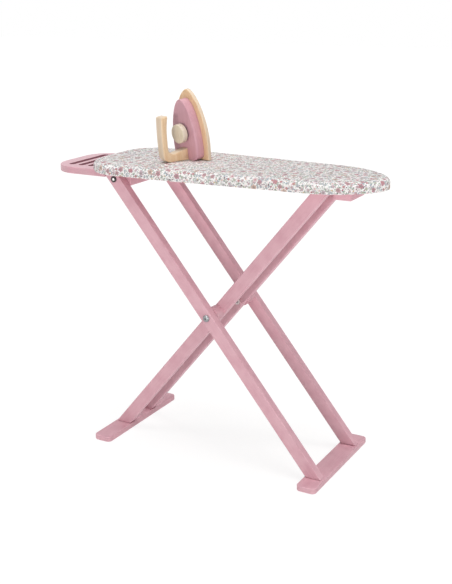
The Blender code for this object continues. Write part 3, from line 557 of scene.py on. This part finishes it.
slope = math.tan(LEAN)
bend_out = GRIP_OUTER + SPLAY - BEND
corners = np.vstack((
    [(FACE, FACE * slope)],
    arc((bend_out, bend_out * slope + BEND / math.cos(LEAN)), BEND, math.degrees(LEAN) - 90, 0),
    arc((GRIP_OUTER - TOP_ROUND, GRIP_TOP - TOP_ROUND), TOP_ROUND, 0, 90),
    arc((GRIP_INNER + TOP_ROUND, GRIP_TOP - TOP_ROUND), TOP_ROUND, 90, 180),
    arc((GRIP_INNER + SPLAY - HOLLOW, ARM_HEIGHT + HOLLOW), HOLLOW, 0, -97),
    [(FACE, ARM_HEIGHT + ARM_RISE)], [(FACE, FACE * slope)]))
outline, steps = even_steps(corners, count=360)
# The grip bows out a little at its middle, and its top flares towards the fingers and to both sides.
climb = np.clip((outline[:, 1] - BOW_START) / (GRIP_TOP - BOW_START), 0, 1)
flare = np.clip((outline[:, 1] - FLARE_START) / (GRIP_TOP - FLARE_START), 0, 1) ** 2
inner_side = outline[:, 0] < GRIP_MIDDLE
outline[:, 0] += BOW * np.sin(np.pi * climb) - TOP_BACK * climb ** 4 - FLARE * flare * inner_side
print("grip outline", round((steps[-1] + steps[1]) / MM), "mm round")

# %% Iron's grip
SAWN_RUN, SAWN_LEAST = 6 * MM, 0.12
away = tangent_and_away(outline)[1]
turn = np.linspace(0, np.pi / 2, 8)
drawn_in = GRIP_ROUND * np.concatenate((1 - np.cos(turn[::-1]), 1 - np.cos(turn)))
over = GRIP_HALF - GRIP_ROUND + GRIP_ROUND * np.sin(turn)
over = np.concatenate((-over[::-1], over))
sawn = np.clip((outline[:, 0] - FACE) / SAWN_RUN, SAWN_LEAST, 1)
rows = outline[None] - away[None] * (drawn_in[:, None] * sawn)[..., None]
grip_points = iron_place(rows[..., 0], over[:, None] * (1 + FLARE_SIDE * flare), rows[..., 1])
first_row = np.arange(len(outline))
last_row = first_row + (len(over) - 1) * len(outline)
grip = add_surface("iron_grip", grip_points, grip_beech, ends=(first_row, last_row), crease=CREASE)
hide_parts("iron_handle")
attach(grip, "iron")
print("grip faces", len(grip.data.polygons))

# %% [markdown]
# ## The iron's body
#
# The body is one block under paint, leaf-shaped in front view. Its heel corners are rounded and its heel is
# square to the sole, so a dark gap shows under it where the iron leans. It is the leaf's outline carried from
# the sole to the front, where the outline is drawn in along a quarter circle: hardly at the tip and the heel,
# and more along the lower sides, as a belt sander leaves it. The front face is a shallow dome that falls away
# to both sides, so rows of points run on from the rounding to the face's middle line.

# %% Outline of the iron's body
BODY_LENGTH, BODY_HALF, BODY_FRONT, HEEL, HEEL_ROUND = 104.5 * MM, 31.5 * MM, 16.2 * MM, 1.8 * MM, 10 * MM
WIDEST, HEEL_DRAWN, TIP_FULL, TIP_BLUNT = 0.27, 0.08, 1.7, 0.54


def leaf_half(up):
    """Half the body's width at a height: drawn in by 8% at the heel, widest at 27%, then a round tip."""
    share = up / BODY_LENGTH
    heel = 1 - HEEL_DRAWN * (np.clip(WIDEST - share, 0, None) / WIDEST) ** 2
    tip = np.clip(1 - (np.clip(share - WIDEST, 0, None) / (1 - WIDEST)) ** TIP_FULL, 0, None) ** TIP_BLUNT
    return BODY_HALF * heel * tip


turn = np.linspace(0, np.pi / 2, 16)
corner_up = HEEL + HEEL_ROUND * (1 - np.cos(turn))
corner_side = leaf_half(corner_up) - HEEL_ROUND * (1 - np.sin(turn))
side_up = HEEL + HEEL_ROUND + (BODY_LENGTH - HEEL - HEEL_ROUND) * np.sin(np.linspace(0, np.pi / 2, 200))[1:]
right = np.vstack((np.column_stack((corner_side, corner_up)), np.column_stack((leaf_half(side_up), side_up))))
corners = np.vstack(([(0.0, HEEL)], right, right[-2::-1] * (-1, 1), [(0.0, HEEL)]))
outline, steps = even_steps(corners, count=480)
print("body outline", round((steps[-1] + steps[1]) / MM), "mm round")

# %% Iron's body
DOME, SOLE_GAP = 0.8 * MM, 0.3 * MM
ROUND_LOW, ROUND_HIGH, ROUND_LEAST = 3.2 * MM, 1.5 * MM, 0.12
away = tangent_and_away(outline)[1]
rounding = np.interp(outline[:, 1], (0.2 * BODY_LENGTH, 0.8 * BODY_LENGTH), (ROUND_LOW, ROUND_HIGH))
rounding *= np.clip(np.abs(away[:, 0]), ROUND_LEAST, 1)
turn = np.linspace(0, np.pi / 2, 10)[:, None]
front = outline[None] - away[None] * (rounding * (1 - np.cos(turn)))[..., None]
front_out = BODY_FRONT - rounding * (1 - np.sin(turn))
inward = np.linspace(1, 0, 9)[1:, None, None] * (1, 0) + (0, 1)
face_rows = front[-1:] * inward
rows = np.concatenate((outline[None], front, face_rows))
rows_out = np.concatenate((np.full((1, len(outline)), SOLE_GAP), front_out,
                           np.full(face_rows.shape[:2], BODY_FRONT)))
rows_out[1:] -= DOME * (rows[1:, :, 0] / BODY_HALF) ** 2
block_points = iron_place(rows_out, rows[..., 0], rows[..., 1])
block = add_surface("iron_block", block_points, iron_paint, ends=(np.arange(len(outline)),), crease=CREASE)
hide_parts("iron_body")
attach(block, "iron")
print("body faces", len(block.data.polygons))

# %% [markdown]
# ## The iron's dial
#
# The dial is a turned disc. Its rim is eased, and its back is cut in a little, so that only a smaller boss
# rubs on the body. The cut lies in shade, and a mask by the height over the dial's seat paints that shade
# into the wood's colour as a dark line round the dial. A turned piece is one profile of radius and height,
# carried round its axis.
# The profile starts in the hole for its pin.

# %% Painted shade round the dial
SHADE_TOP, SHADE_FULL = 3.1 * MM, 2.4 * MM
tree = dial_beech.node_tree
place = node(tree, "TexCoord")
from_seat = node(tree, "VectorMath", "SUBTRACT", in0=place.outputs["Object"], in1=DIAL_SEAT)
height = node(tree, "VectorMath", "DOT_PRODUCT", in0=from_seat, in1=IRON_OUT)
gap_shade = node(tree, "MapRange", Value=height, From_Min=SHADE_TOP, From_Max=SHADE_FULL)
# The dark brown is painted shade in the gap between the dial and the body.
lay_over(dial_beech, gap_shade, "#45322D")
print("dial finish: nodes", len(tree.nodes))

# %% Iron's dial
profile = np.array((
    (0, 6.3), (2.1, 6.3), (2.1, 0), (14.0, 0), (14.2, 0.2), (14.2, 2.1), (14.4, 2.3), (15.7, 2.4),
    (16.1, 2.55), (16.25, 2.9), (16.25, 10.6), (16.1, 11.3), (15.7, 11.9), (15.1, 12.3), (14.4, 12.5),
    (0, 12.5))) * MM
radius, height = profile[:, :1], profile[:, 1:]
around = np.linspace(0, 2 * np.pi, 96, endpoint=False)
dial_points = iron_place(FACE + height, radius * np.cos(around), DIAL_HEIGHT + radius * np.sin(around))
dial = add_surface("turned_dial", dial_points, dial_beech, crease=40)
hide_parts("iron_dial")
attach(dial, "dial")
print("dial faces", len(dial.data.polygons))

# %% [markdown]
# ## The deck's plan
#
# The cover, its pad and the elastic all follow one plan: round back corners, sides that taper, and a nose
# that is a superellipse. The plan is drawn as a dense line, sampled again at equal steps, so that every piece
# has the same columns, and eased where two stretches meet.

# %% Plan of the deck
HINGE_X = -159.75 * MM
BOARD_UNDER, BOARD_TOP, COVER_TOP = 493.932 * MM, 502.932 * MM, 508.932 * MM
BACK = HINGE_X - 61 * MM
SHOULDER = HINGE_X + 72 * MM
NOSE = HINGE_X + 462 * MM
NOSE_START = NOSE - 108 * MM
HALF, NOSE_HALF, CORNER = 97.5 * MM, 80.5 * MM, 64 * MM
NOSE_POWER = 1.7
COLUMNS = 640


def deck_plan(columns):
    """Points, outward normals, distance along and curvature of the plan, from the back's middle."""
    around = arc((BACK + CORNER, CORNER - HALF), CORNER, 180, 270, 60)
    angle = np.linspace(0, np.pi / 2, 120)
    ahead = np.sin(angle) ** (2 / NOSE_POWER)
    across = np.clip(np.cos(angle), 0, 1) ** (2 / NOSE_POWER)
    tip = np.column_stack((NOSE_START + (NOSE - NOSE_START) * ahead, -NOSE_HALF * across))
    near = np.vstack(([(BACK, 0.0)], around, [(SHOULDER, -HALF)], tip))
    line = np.vstack((near, near[-2:0:-1] * (1, -1), near[:1]))
    points, steps = even_steps(line, columns)
    for _ in range(4):
        points = (np.roll(points, 1, 0) + 2 * points + np.roll(points, -1, 0)) / 4
    tangent, normals = tangent_and_away(points)
    bend = np.roll(tangent, -1, 0) - np.roll(tangent, 1, 0)
    return points, normals, steps, np.linalg.norm(bend, axis=1) / (2 * steps[1])


def deck_rows(insets, heights, shares):
    """Rows of points: the plan drawn in by an inset, then moved a share of the way to its middle line."""
    drawn = plan[None] - outward[None] * insets[..., None]
    middle = np.clip(drawn[..., 0], BACK + HALF, NOSE_START)
    x = drawn[..., 0] + (middle - drawn[..., 0]) * shares
    y = drawn[..., 1] * (1 - shares)
    return np.stack((x, y, np.broadcast_to(heights, x.shape)), axis=-1)


plan, outward, walked, curvature = deck_plan(COLUMNS)
EDGE_LENGTH = walked[-1] + walked[1]
print("deck edge", round(EDGE_LENGTH, 3), "m in", COLUMNS, "columns")

# %% [markdown]
# ## Printed cotton
#
# The cover is a plain-woven cotton with a small all-over flower print, the kind called ditsy: little
# blossoms, sprigs, leaves and buds scattered with no direction. Each motif is drawn by the material. Voronoi
# cells scatter the motifs over the flat cloth, a cell's own middle gives polar coordinates for its flower,
# and the cell's random colour turns it, sizes it and picks its ink. The cloth's UV map is its flat cut, in
# metres, so the print wraps over the edge as real cloth does.

# %% Inks and places
CLOTH = "#EFEDEB"
INKS = {"rose": "#A6586A", "blush": "#CFB1B5", "clay": "#BC9680", "sage": "#98A396", "slate": "#9AA4AC",
        "mauve": "#AB929F", "ochre": "#CBAB7F", "plum": "#715E66", "chalk": "#DDD8D5", "shell": "#E7D6D7",
        "mist": "#D9DDD8"}


def inks(tree, chance, order):
    """The print's inks in an order, picked by a chance from 0 to 1."""
    ramp = node(tree, "ValToRGB", Fac=chance)
    ramp.color_ramp.interpolation = "CONSTANT"
    names = order.split()
    for i, name in enumerate(names):
        stop = ramp.color_ramp.elements[i] if i < 2 else ramp.color_ramp.elements.new(i / len(names))
        stop.position = i / len(names)
        stop.color = linear(INKS[name])
    return ramp


def scatter(tree, cloth, spacing, shift, looseness=0.62):
    """Motif places about a spacing apart: the way from the nearest place, and three chances."""
    moved = node(tree, "VectorMath", "ADD", in0=cloth, in1=(shift, shift * 1.7, 0.0))
    cells = node(tree, "TexVoronoi", {"voronoi_dimensions": "2D"}, Vector=moved, Scale=1 / spacing,
                 Randomness=looseness)
    way = node(tree, "VectorMath", "SUBTRACT", in0=moved, in1=cells.outputs["Position"])
    return way, node(tree, "SeparateColor", Color=cells.outputs["Color"])


def turn_by(tree, way, chances):
    """The way from a motif's place, turned by a chance of a full turn."""
    phase = node(tree, "Math", "MULTIPLY", in0=chances.outputs[0], in1=2 * math.pi)
    return node(tree, "VectorRotate", {"rotation_type": "Z_AXIS"}, Vector=way, Angle=phase)


def stamp(tree, under, drawn, chances, share, ink):
    """An ink over what lies under it, where a motif is drawn, at a share of the places."""
    there = node(tree, "Math", "LESS_THAN", in0=chances.outputs[2], in1=share)
    mask = node(tree, "Math", "MULTIPLY", in0=drawn, in1=there)
    return node(tree, "Mix", COLOURS, in0=mask, in6=under, in7=ink)


print("inks", len(INKS))

# %% Blossoms, sprigs and leaves
def blossoms(tree, under, cloth, spacing, radius, petals, shift, order, share):
    """Flowers whose edge is radius x (0.5 + 0.5 x the root of |cos(petals x angle / 2)|), with an eye."""
    way, chances = scatter(tree, cloth, spacing, shift)
    far = node(tree, "VectorMath", "LENGTH", in0=way)
    parts = node(tree, "SeparateXYZ", Vector=way)
    angle = node(tree, "Math", "ARCTAN2", in0=parts.outputs["Y"], in1=parts.outputs["X"])
    phase = node(tree, "Math", "MULTIPLY", in0=chances.outputs[0], in1=2 * math.pi)
    lobes = node(tree, "Math", "MULTIPLY_ADD", in0=angle, in1=petals / 2, in2=phase)
    for step in ("COSINE", "ABSOLUTE", "SQRT"):
        lobes = node(tree, "Math", step, in0=lobes)
    size = node(tree, "MapRange", Value=chances.outputs[1], To_Min=radius * 0.75, To_Max=radius)
    shape = node(tree, "Math", "MULTIPLY_ADD", in0=lobes, in1=0.5, in2=0.5)
    rim = node(tree, "Math", "MULTIPLY", in0=shape, in1=size)
    beyond = node(tree, "Math", "SUBTRACT", in0=far, in1=rim)
    petal = node(tree, "MapRange", Value=beyond, From_Min=0.12, From_Max=-0.12)
    ink = inks(tree, chances.outputs[1], order)
    fade = node(tree, "MapRange", Value=beyond, From_Min=-radius * 0.8, From_Max=0.0, To_Max=0.3)
    petal_ink = node(tree, "Mix", COLOURS, in0=fade, in6=ink, in7=linear(CLOTH))
    eye = node(tree, "MapRange", Value=far, From_Min=radius * 0.27, From_Max=radius * 0.17)
    eyed = node(tree, "Mix", COLOURS, in0=eye, in6=petal_ink, in7=linear(INKS["ochre"]))
    return stamp(tree, under, petal, chances, share, eyed)


def sprigs(tree, under, cloth, spacing, length, width, shift, order, share):
    """Two pairs of leaves on a stem. The cell is turned, folded across its stem and wrapped along it, so that
    one leaf stands for four: where the distance across is under width x (1 - (along / half) squared). A leaf
    leans 44 degrees from the stem, and its half is a sixth of the sprig's length."""
    way, chances = scatter(tree, cloth, spacing, shift)
    far = node(tree, "VectorMath", "LENGTH", in0=way)
    parts = node(tree, "SeparateXYZ", Vector=turn_by(tree, way, chances))
    fold = node(tree, "Math", "ABSOLUTE", in0=parts.outputs["Y"])
    wrapped = node(tree, "Math", "WRAP", in0=parts.outputs["X"], in1=length / 2, in2=0.0)
    half = node(tree, "CombineXYZ", X=wrapped, Y=fold)
    leaned = node(tree, "VectorRotate", {"rotation_type": "Z_AXIS"}, Vector=half,
                  Center=(length * 0.06, 0, 0), Angle=math.radians(-44))
    leaf = node(tree, "SeparateXYZ", Vector=leaned)
    run = node(tree, "Math", "MULTIPLY_ADD", in0=leaf.outputs["X"], in1=6 / length, in2=-1.4)
    bow = node(tree, "Math", "MULTIPLY", in0=run, in1=run)
    allowed = node(tree, "Math", "MULTIPLY_ADD", in0=bow, in1=-width, in2=width)
    off = node(tree, "Math", "ABSOLUTE", in0=leaf.outputs["Y"])
    beyond = node(tree, "Math", "SUBTRACT", in0=off, in1=allowed)
    blade = node(tree, "MapRange", Value=beyond, From_Min=0.1, From_Max=-0.1)
    stem = node(tree, "MapRange", Value=fold, From_Min=0.26, From_Max=0.12)
    drawn = node(tree, "Math", "MAXIMUM", in0=blade, in1=stem)
    near = node(tree, "Math", "LESS_THAN", in0=far, in1=length / 2)
    drawn = node(tree, "Math", "MULTIPLY", in0=drawn, in1=near)
    return stamp(tree, under, drawn, chances, share, inks(tree, chances.outputs[1], order))


def leaves(tree, under, cloth, spacing, length, width, shift, order, share):
    """Single leaves, and round buds where length is twice width: inside the ellipse where
    (along / half)^2 + (across / width)^2 = 1."""
    way, chances = scatter(tree, cloth, spacing, shift, 0.8)
    turned = turn_by(tree, way, chances)
    scaled = node(tree, "VectorMath", "MULTIPLY", in0=turned, in1=(2 / length, 1 / width, 0.0))
    reach = node(tree, "VectorMath", "LENGTH", in0=scaled)
    size = node(tree, "MapRange", Value=chances.outputs[1], To_Min=0.65)
    beyond = node(tree, "Math", "SUBTRACT", in0=reach, in1=size)
    blade = node(tree, "MapRange", Value=beyond, From_Min=0.1, From_Max=-0.1)
    return stamp(tree, under, blade, chances, share, inks(tree, chances.outputs[0], order))


print("motifs: blossoms, sprigs and leaves")

# %% Printed cotton
# A motif with its spacing, length or radius, width or count of petals, and shift, lengths in millimetres,
# then its inks and the share of places that hold one. The palest lie lowest.
motifs = (
    (leaves, 5.6, 5.2, 2.0, 5.0, "chalk shell mist chalk", 0.9),
    (leaves, 3.7, 1.6, 0.8, 13.0, "sage slate mauve plum blush slate", 0.85),
    (leaves, 4.5, 3.8, 0.8, 47.0, "slate sage plum slate sage mauve", 0.76),
    (sprigs, 12.0, 10.0, 0.95, 51.0, "sage slate sage slate", 0.85),
    (leaves, 7.6, 2.8, 1.4, 29.0, "mauve slate rose ochre sage plum", 0.66),
    (blossoms, 9.0, 2.8, 5, 71.0, "blush mauve slate rose sage mauve", 0.8),
    (blossoms, 17.0, 5.0, 5, 33.0, "rose rose mauve blush rose clay", 0.76),
    (blossoms, 17.0, 2.2, 5, 33.0, "plum plum rose plum", 0.76),
)
# Threads lie about 0.3 mm apart in such a cotton. They are drawn 0.9 mm apart, so that they show.
THREAD = 0.9

cotton, tree, shader, _ = new_material("printed_cotton")
cut = node(tree, "UVMap", {"uv_map": "cut"})
cloth = node(tree, "VectorMath", "SCALE", in0=cut, Scale=1000.0)
printed = linear(CLOTH)
for motif, *sizes in motifs:
    printed = motif(tree, printed, cloth, *sizes)
parts = node(tree, "SeparateXYZ", Vector=cloth)
phases = [node(tree, "Math", "MULTIPLY", in0=parts.outputs[axis], in1=2 * math.pi / THREAD) for axis in "XY"]
warp, weft = [node(tree, "Math", "SINE", in0=phase) for phase in phases]
weave = node(tree, "Math", "MULTIPLY", in0=warp, in1=weft)
bump = node(tree, "Bump", Strength=0.25, Distance=0.12 * MM, Height=weave)
feed(shader, Base_Color=printed, Roughness=0.9, Specular_IOR_Level=0.2, Sheen_Weight=0.12,
     Sheen_Roughness=0.5, Normal=bump)
print("print: nodes", len(tree.nodes))

# %% [markdown]
# ## The fitted cover
#
# The cover is one piece of cloth, cut larger than the deck and drawn under it by elastic in its hem. It is
# tight over the pad, so it follows the pad's crown and rounded edge. Round the corners and the nose the cut
# is longer than the edge it goes over, and the spare length gathers into small puckers that grow towards
# the hem. At the back the hem stops at the iron rest, which lies against the board. A cloth simulation
# could make the puckers, but a tight cover has few, so they are computed: a sum of waves along the edge,
# scaled by how much spare length there is.

# %% Section of the cover's edge
HEM_LOW = BOARD_UNDER - 3.6 * MM
HEM_TURN, HEM_LIP, EDGE_ACROSS, EDGE_DOWN = 2.6 * MM, 9.0 * MM, 11.0 * MM, 8.0 * MM
quarter = np.linspace(0, np.pi / 2, 9)
side = np.linspace(COVER_TOP - EDGE_DOWN, HEM_LOW + HEM_TURN, 9)[1:-1]
drop_inset = np.concatenate((EDGE_ACROSS * (1 - np.sin(quarter)), side * 0,
                             HEM_TURN * (1 - np.cos(quarter)), [HEM_LIP]))
drop_height = np.concatenate((COVER_TOP - EDGE_DOWN * (1 - np.cos(quarter)), side,
                              HEM_LOW + HEM_TURN * (1 - np.sin(quarter)), [HEM_LOW]))
drop_run = run_along(np.column_stack((drop_inset, drop_height)))


def drop_rows(run):
    """Rows of the cover's edge at distances down its section."""
    return deck_rows(np.interp(run, drop_run, drop_inset), np.interp(run, drop_run, drop_height), 0.0)


print("cloth over the edge", round(drop_run[-1] / MM, 1), "mm")

# %% Where the hem stops
REST_HALF, REST_END = 76 * MM, -182.75 * MM
SIDE_CLEAR, END_CLEAR, UNDER_CLEAR, HEM_SHORT = 1.4 * MM, 1.6 * MM, 0.2 * MM, 0.4 * MM


def neighbours(values, count):
    """A row of values for each shift, up to a count of columns to either side."""
    return np.array([np.roll(values, shift) for shift in range(-count, count + 1)])


# Each column ends where it would run into the iron rest.
probe = np.linspace(0, drop_run[-1], 240)
tested = drop_rows(probe[:, None])
blocked = (tested[..., 2] < BOARD_UNDER + UNDER_CLEAR) & (abs(tested[..., 1]) < REST_HALF + SIDE_CLEAR)
blocked &= tested[..., 0] < REST_END + END_CLEAR
reach = np.where(blocked.any(0), probe[np.argmax(blocked, axis=0)] - UNDER_CLEAR, drop_run[-1])
reach = neighbours(neighbours(reach, 4).min(axis=0), 4).mean(axis=0)
hemmed = np.flatnonzero(reach > drop_run[-1] - HEM_SHORT)
print("columns with a hem", len(hemmed), "of", COLUMNS)

# %% Top and drop of the cover
TOP_ROWS, DROP_ROWS = 18, 30
CROWN, CROWN_RUN = 1.4 * MM, 0.6


def crowned(height, share):
    """A height and the crown over it, which rises as a quarter of a sine over the first 60% of the way in."""
    return height + CROWN * np.sin(np.pi / 2 * np.clip(share / CROWN_RUN, 0, 1))


top_share = np.linspace(1, 0, TOP_ROWS, endpoint=False)[:, None]
top = deck_rows(np.full((TOP_ROWS, 1), EDGE_ACROSS), crowned(COVER_TOP, top_share), top_share)
run = np.linspace(0, 1, DROP_ROWS)[:, None] * reach
drop = drop_rows(run)
print("cover points", top.shape, drop.shape)

# %% Puckers
PUCKER_LEAST, PUCKER_SPARE, MOST_SPARE, SWELL = 0.05 * MM, 0.42 * MM, 1.3, 0.14 * MM
turns = 2 * np.pi * walked / EDGE_LENGTH


def waves(*parts):
    """A sum of sines round the edge, each given by its count, size and start."""
    return sum(size * np.sin(count * turns + start) for count, size, start in parts)


# Puckers stand along the drop's own normal, which turns from up to outward to down.
edge_end, side_end = len(quarter) - 1, len(quarter) + len(side) - 1
bends = (0, drop_run[edge_end], drop_run[side_end], drop_run[-2], drop_run[-1])
facing = np.radians(np.interp(run, bends, (90, 0, 0, -90, -90)))
lean = np.stack((outward[:, 0] * np.cos(facing), outward[:, 1] * np.cos(facing), np.sin(facing)), axis=-1)
spare = neighbours(np.clip(curvature * CORNER, 0, MOST_SPARE), 8).mean(axis=0)
down_share = run / drop_run[-1]
puckers = waves((151, 1.0, 0.6), (97, 0.7, 2.1), (211, 0.5, 4.0)) * (PUCKER_LEAST + PUCKER_SPARE * spare)
swell = waves((19, 1.0, 1.0), (31, 0.6, 0.3)) * SWELL
lift = puckers * down_share ** 2 + swell * np.sin(np.pi * np.clip(down_share, 0, 1))
drop += lean * lift[..., None]
print("puckers up to", round(abs(lift).max() / MM, 2), "mm")

# %% The cover
CLOTH_THICKNESS = 0.6 * MM
cover_points = np.concatenate((top, drop))
cut_drop = plan[None] + outward[None] * (run - EDGE_ACROSS)[..., None]
cover = add_surface("fitted_cover", cover_points, cotton, cloth=np.concatenate((top[..., :2], cut_drop)))
thickness = cover.modifiers.new("thickness", "SOLIDIFY")
thickness.thickness = CLOTH_THICKNESS
thickness.offset = -1.0
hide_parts("fabric_cover")
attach(cover, "board")

# %% [markdown]
# ## Foam pad
#
# Under the cloth lies a thin foam sheet, cut to the board and crowned a little by the cover's pull. It is
# one closed skin: rows that spread from the middle line over the top and the edge, and come back beneath.

# %% Foam pad
PAD_UNDER, PAD_TOP, PAD_INSET = BOARD_TOP + 0.3 * MM, COVER_TOP - 1.5 * MM, 1.5 * MM
PAD_ACROSS, PAD_DOWN = 9.0 * MM, 4.0 * MM
foam = mottled("open_cell_foam", 1.2, "#DED9CC", "#F4F1E9", 0.95, (0.6, 0.4), "TexVoronoi", 0.0)
spread = np.linspace(1, 0, 12, endpoint=False)
beneath = np.linspace(0, 1, 6)
pad_share = np.concatenate((spread, quarter * 0, beneath))
pad_inset = PAD_INSET + PAD_ACROSS * np.concatenate((spread * 0 + 1, 1 - np.sin(quarter), beneath * 0))
pad_height = np.concatenate((crowned(PAD_TOP, spread), PAD_TOP - PAD_DOWN * (1 - np.cos(quarter)),
                             beneath * 0 + PAD_UNDER))
pad_points = deck_rows(pad_inset[:, None], pad_height[:, None], pad_share[:, None])
pad = add_surface("foam_layer", pad_points, foam)
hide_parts("foam_pad")
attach(pad, "board")
print("pad faces", len(pad.data.polygons))

# %% [markdown]
# ## Hem elastic and stitches
#
# A flat woven elastic runs inside the hem and draws it in. A row of lockstitches holds it there, seen from
# below as short raised dashes. The elastic is a small rounded section carried along the deck's edge, open at
# the iron rest. A stitch is one small capsule, copied to every place by array arithmetic.

# %% Hem elastic
BAND_INSET, BAND_HALF, BAND_HALF_THICK, BAND_LIFT = 6.0 * MM, 2.7 * MM, 0.75 * MM, 0.9 * MM
braid = mottled("braided_elastic", 0.7, "#DCD8D1", "#F6F4F0", 0.85, (0.4, 0.2), detail=1.0)


def squared(wave, power):
    """A sine or cosine drawn towards a square wave: its sign x its size to a power."""
    return np.sign(wave) * abs(wave) ** power


around = np.linspace(0, 2 * np.pi, 16, endpoint=False)[:, None]
band_inset = BAND_INSET + BAND_HALF * squared(np.cos(around), 0.4)
band_height = (HEM_LOW + BOARD_UNDER + BAND_LIFT) / 2 + BAND_HALF_THICK * squared(np.sin(around), 0.6)
band_rows = deck_rows(band_inset, band_height, 0.0)[:, hemmed]
band_faces = sheet_faces(*band_rows.shape[:2], closed_rows=True, closed_columns=False)
first_ring = np.arange(len(around)) * len(hemmed)
last_ring = first_ring + len(hemmed) - 1
band = add_surface("hem_elastic_band", band_rows, braid, band_faces, ends=(first_ring, last_ring))
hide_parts("hem_elastic")
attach(band, "board")
print("elastic", round(run_along(band_rows[0])[-1], 3), "m")

# %% Hem stitches
STITCH, STITCH_GAP, THREAD_RADIUS, THREAD_PROUD = 2.7 * MM, 1.0 * MM, 0.24 * MM, 0.1 * MM
SEAM_ROW = -3
thread = mottled("sewing_thread", 0.4, "#E3DCD6", "#FAF7F4", 0.7)
seam = cover_points[SEAM_ROW][hemmed]
middles = np.arange(STITCH, run_along(seam)[-1] - STITCH, STITCH + STITCH_GAP)
centre = points_at(seam, middles)
ahead = points_at(seam, middles + 0.2 * STITCH) - centre
ahead /= np.linalg.norm(ahead, axis=1)[:, None]
down = np.array((0.0, 0.0, -1.0))
beside = np.cross(ahead, down)
beside /= np.linalg.norm(beside, axis=1)[:, None]
around = np.linspace(0, 2 * np.pi, 6, endpoint=False)
stitch_along = np.array((-0.5, -0.42, -0.2, 0.2, 0.42, 0.5)) * STITCH
stitch_round = np.array((0.05, 0.7, 1.0, 1.0, 0.7, 0.05))[:, None] * THREAD_RADIUS
shape = (centre[:, None, None] + ahead[:, None, None] * stitch_along[None, :, None, None]
         + beside[:, None, None] * (stitch_round * np.cos(around))[None, :, :, None]
         + down * (stitch_round * np.sin(around) + THREAD_PROUD)[None, :, :, None])
one = np.vstack((sheet_faces(6, 6), ((5, 4, 3, 2), (5, 2, 1, 0), (30, 31, 32, 33), (30, 33, 34, 35))))
points_each = one.max() + 1
stitch_faces = (one[None] + points_each * np.arange(len(middles))[:, None, None]).reshape(-1, 4)
stitches = add_surface("hem_stitches", shape, thread, stitch_faces)
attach(stitches, "board")
print("stitches", len(middles))
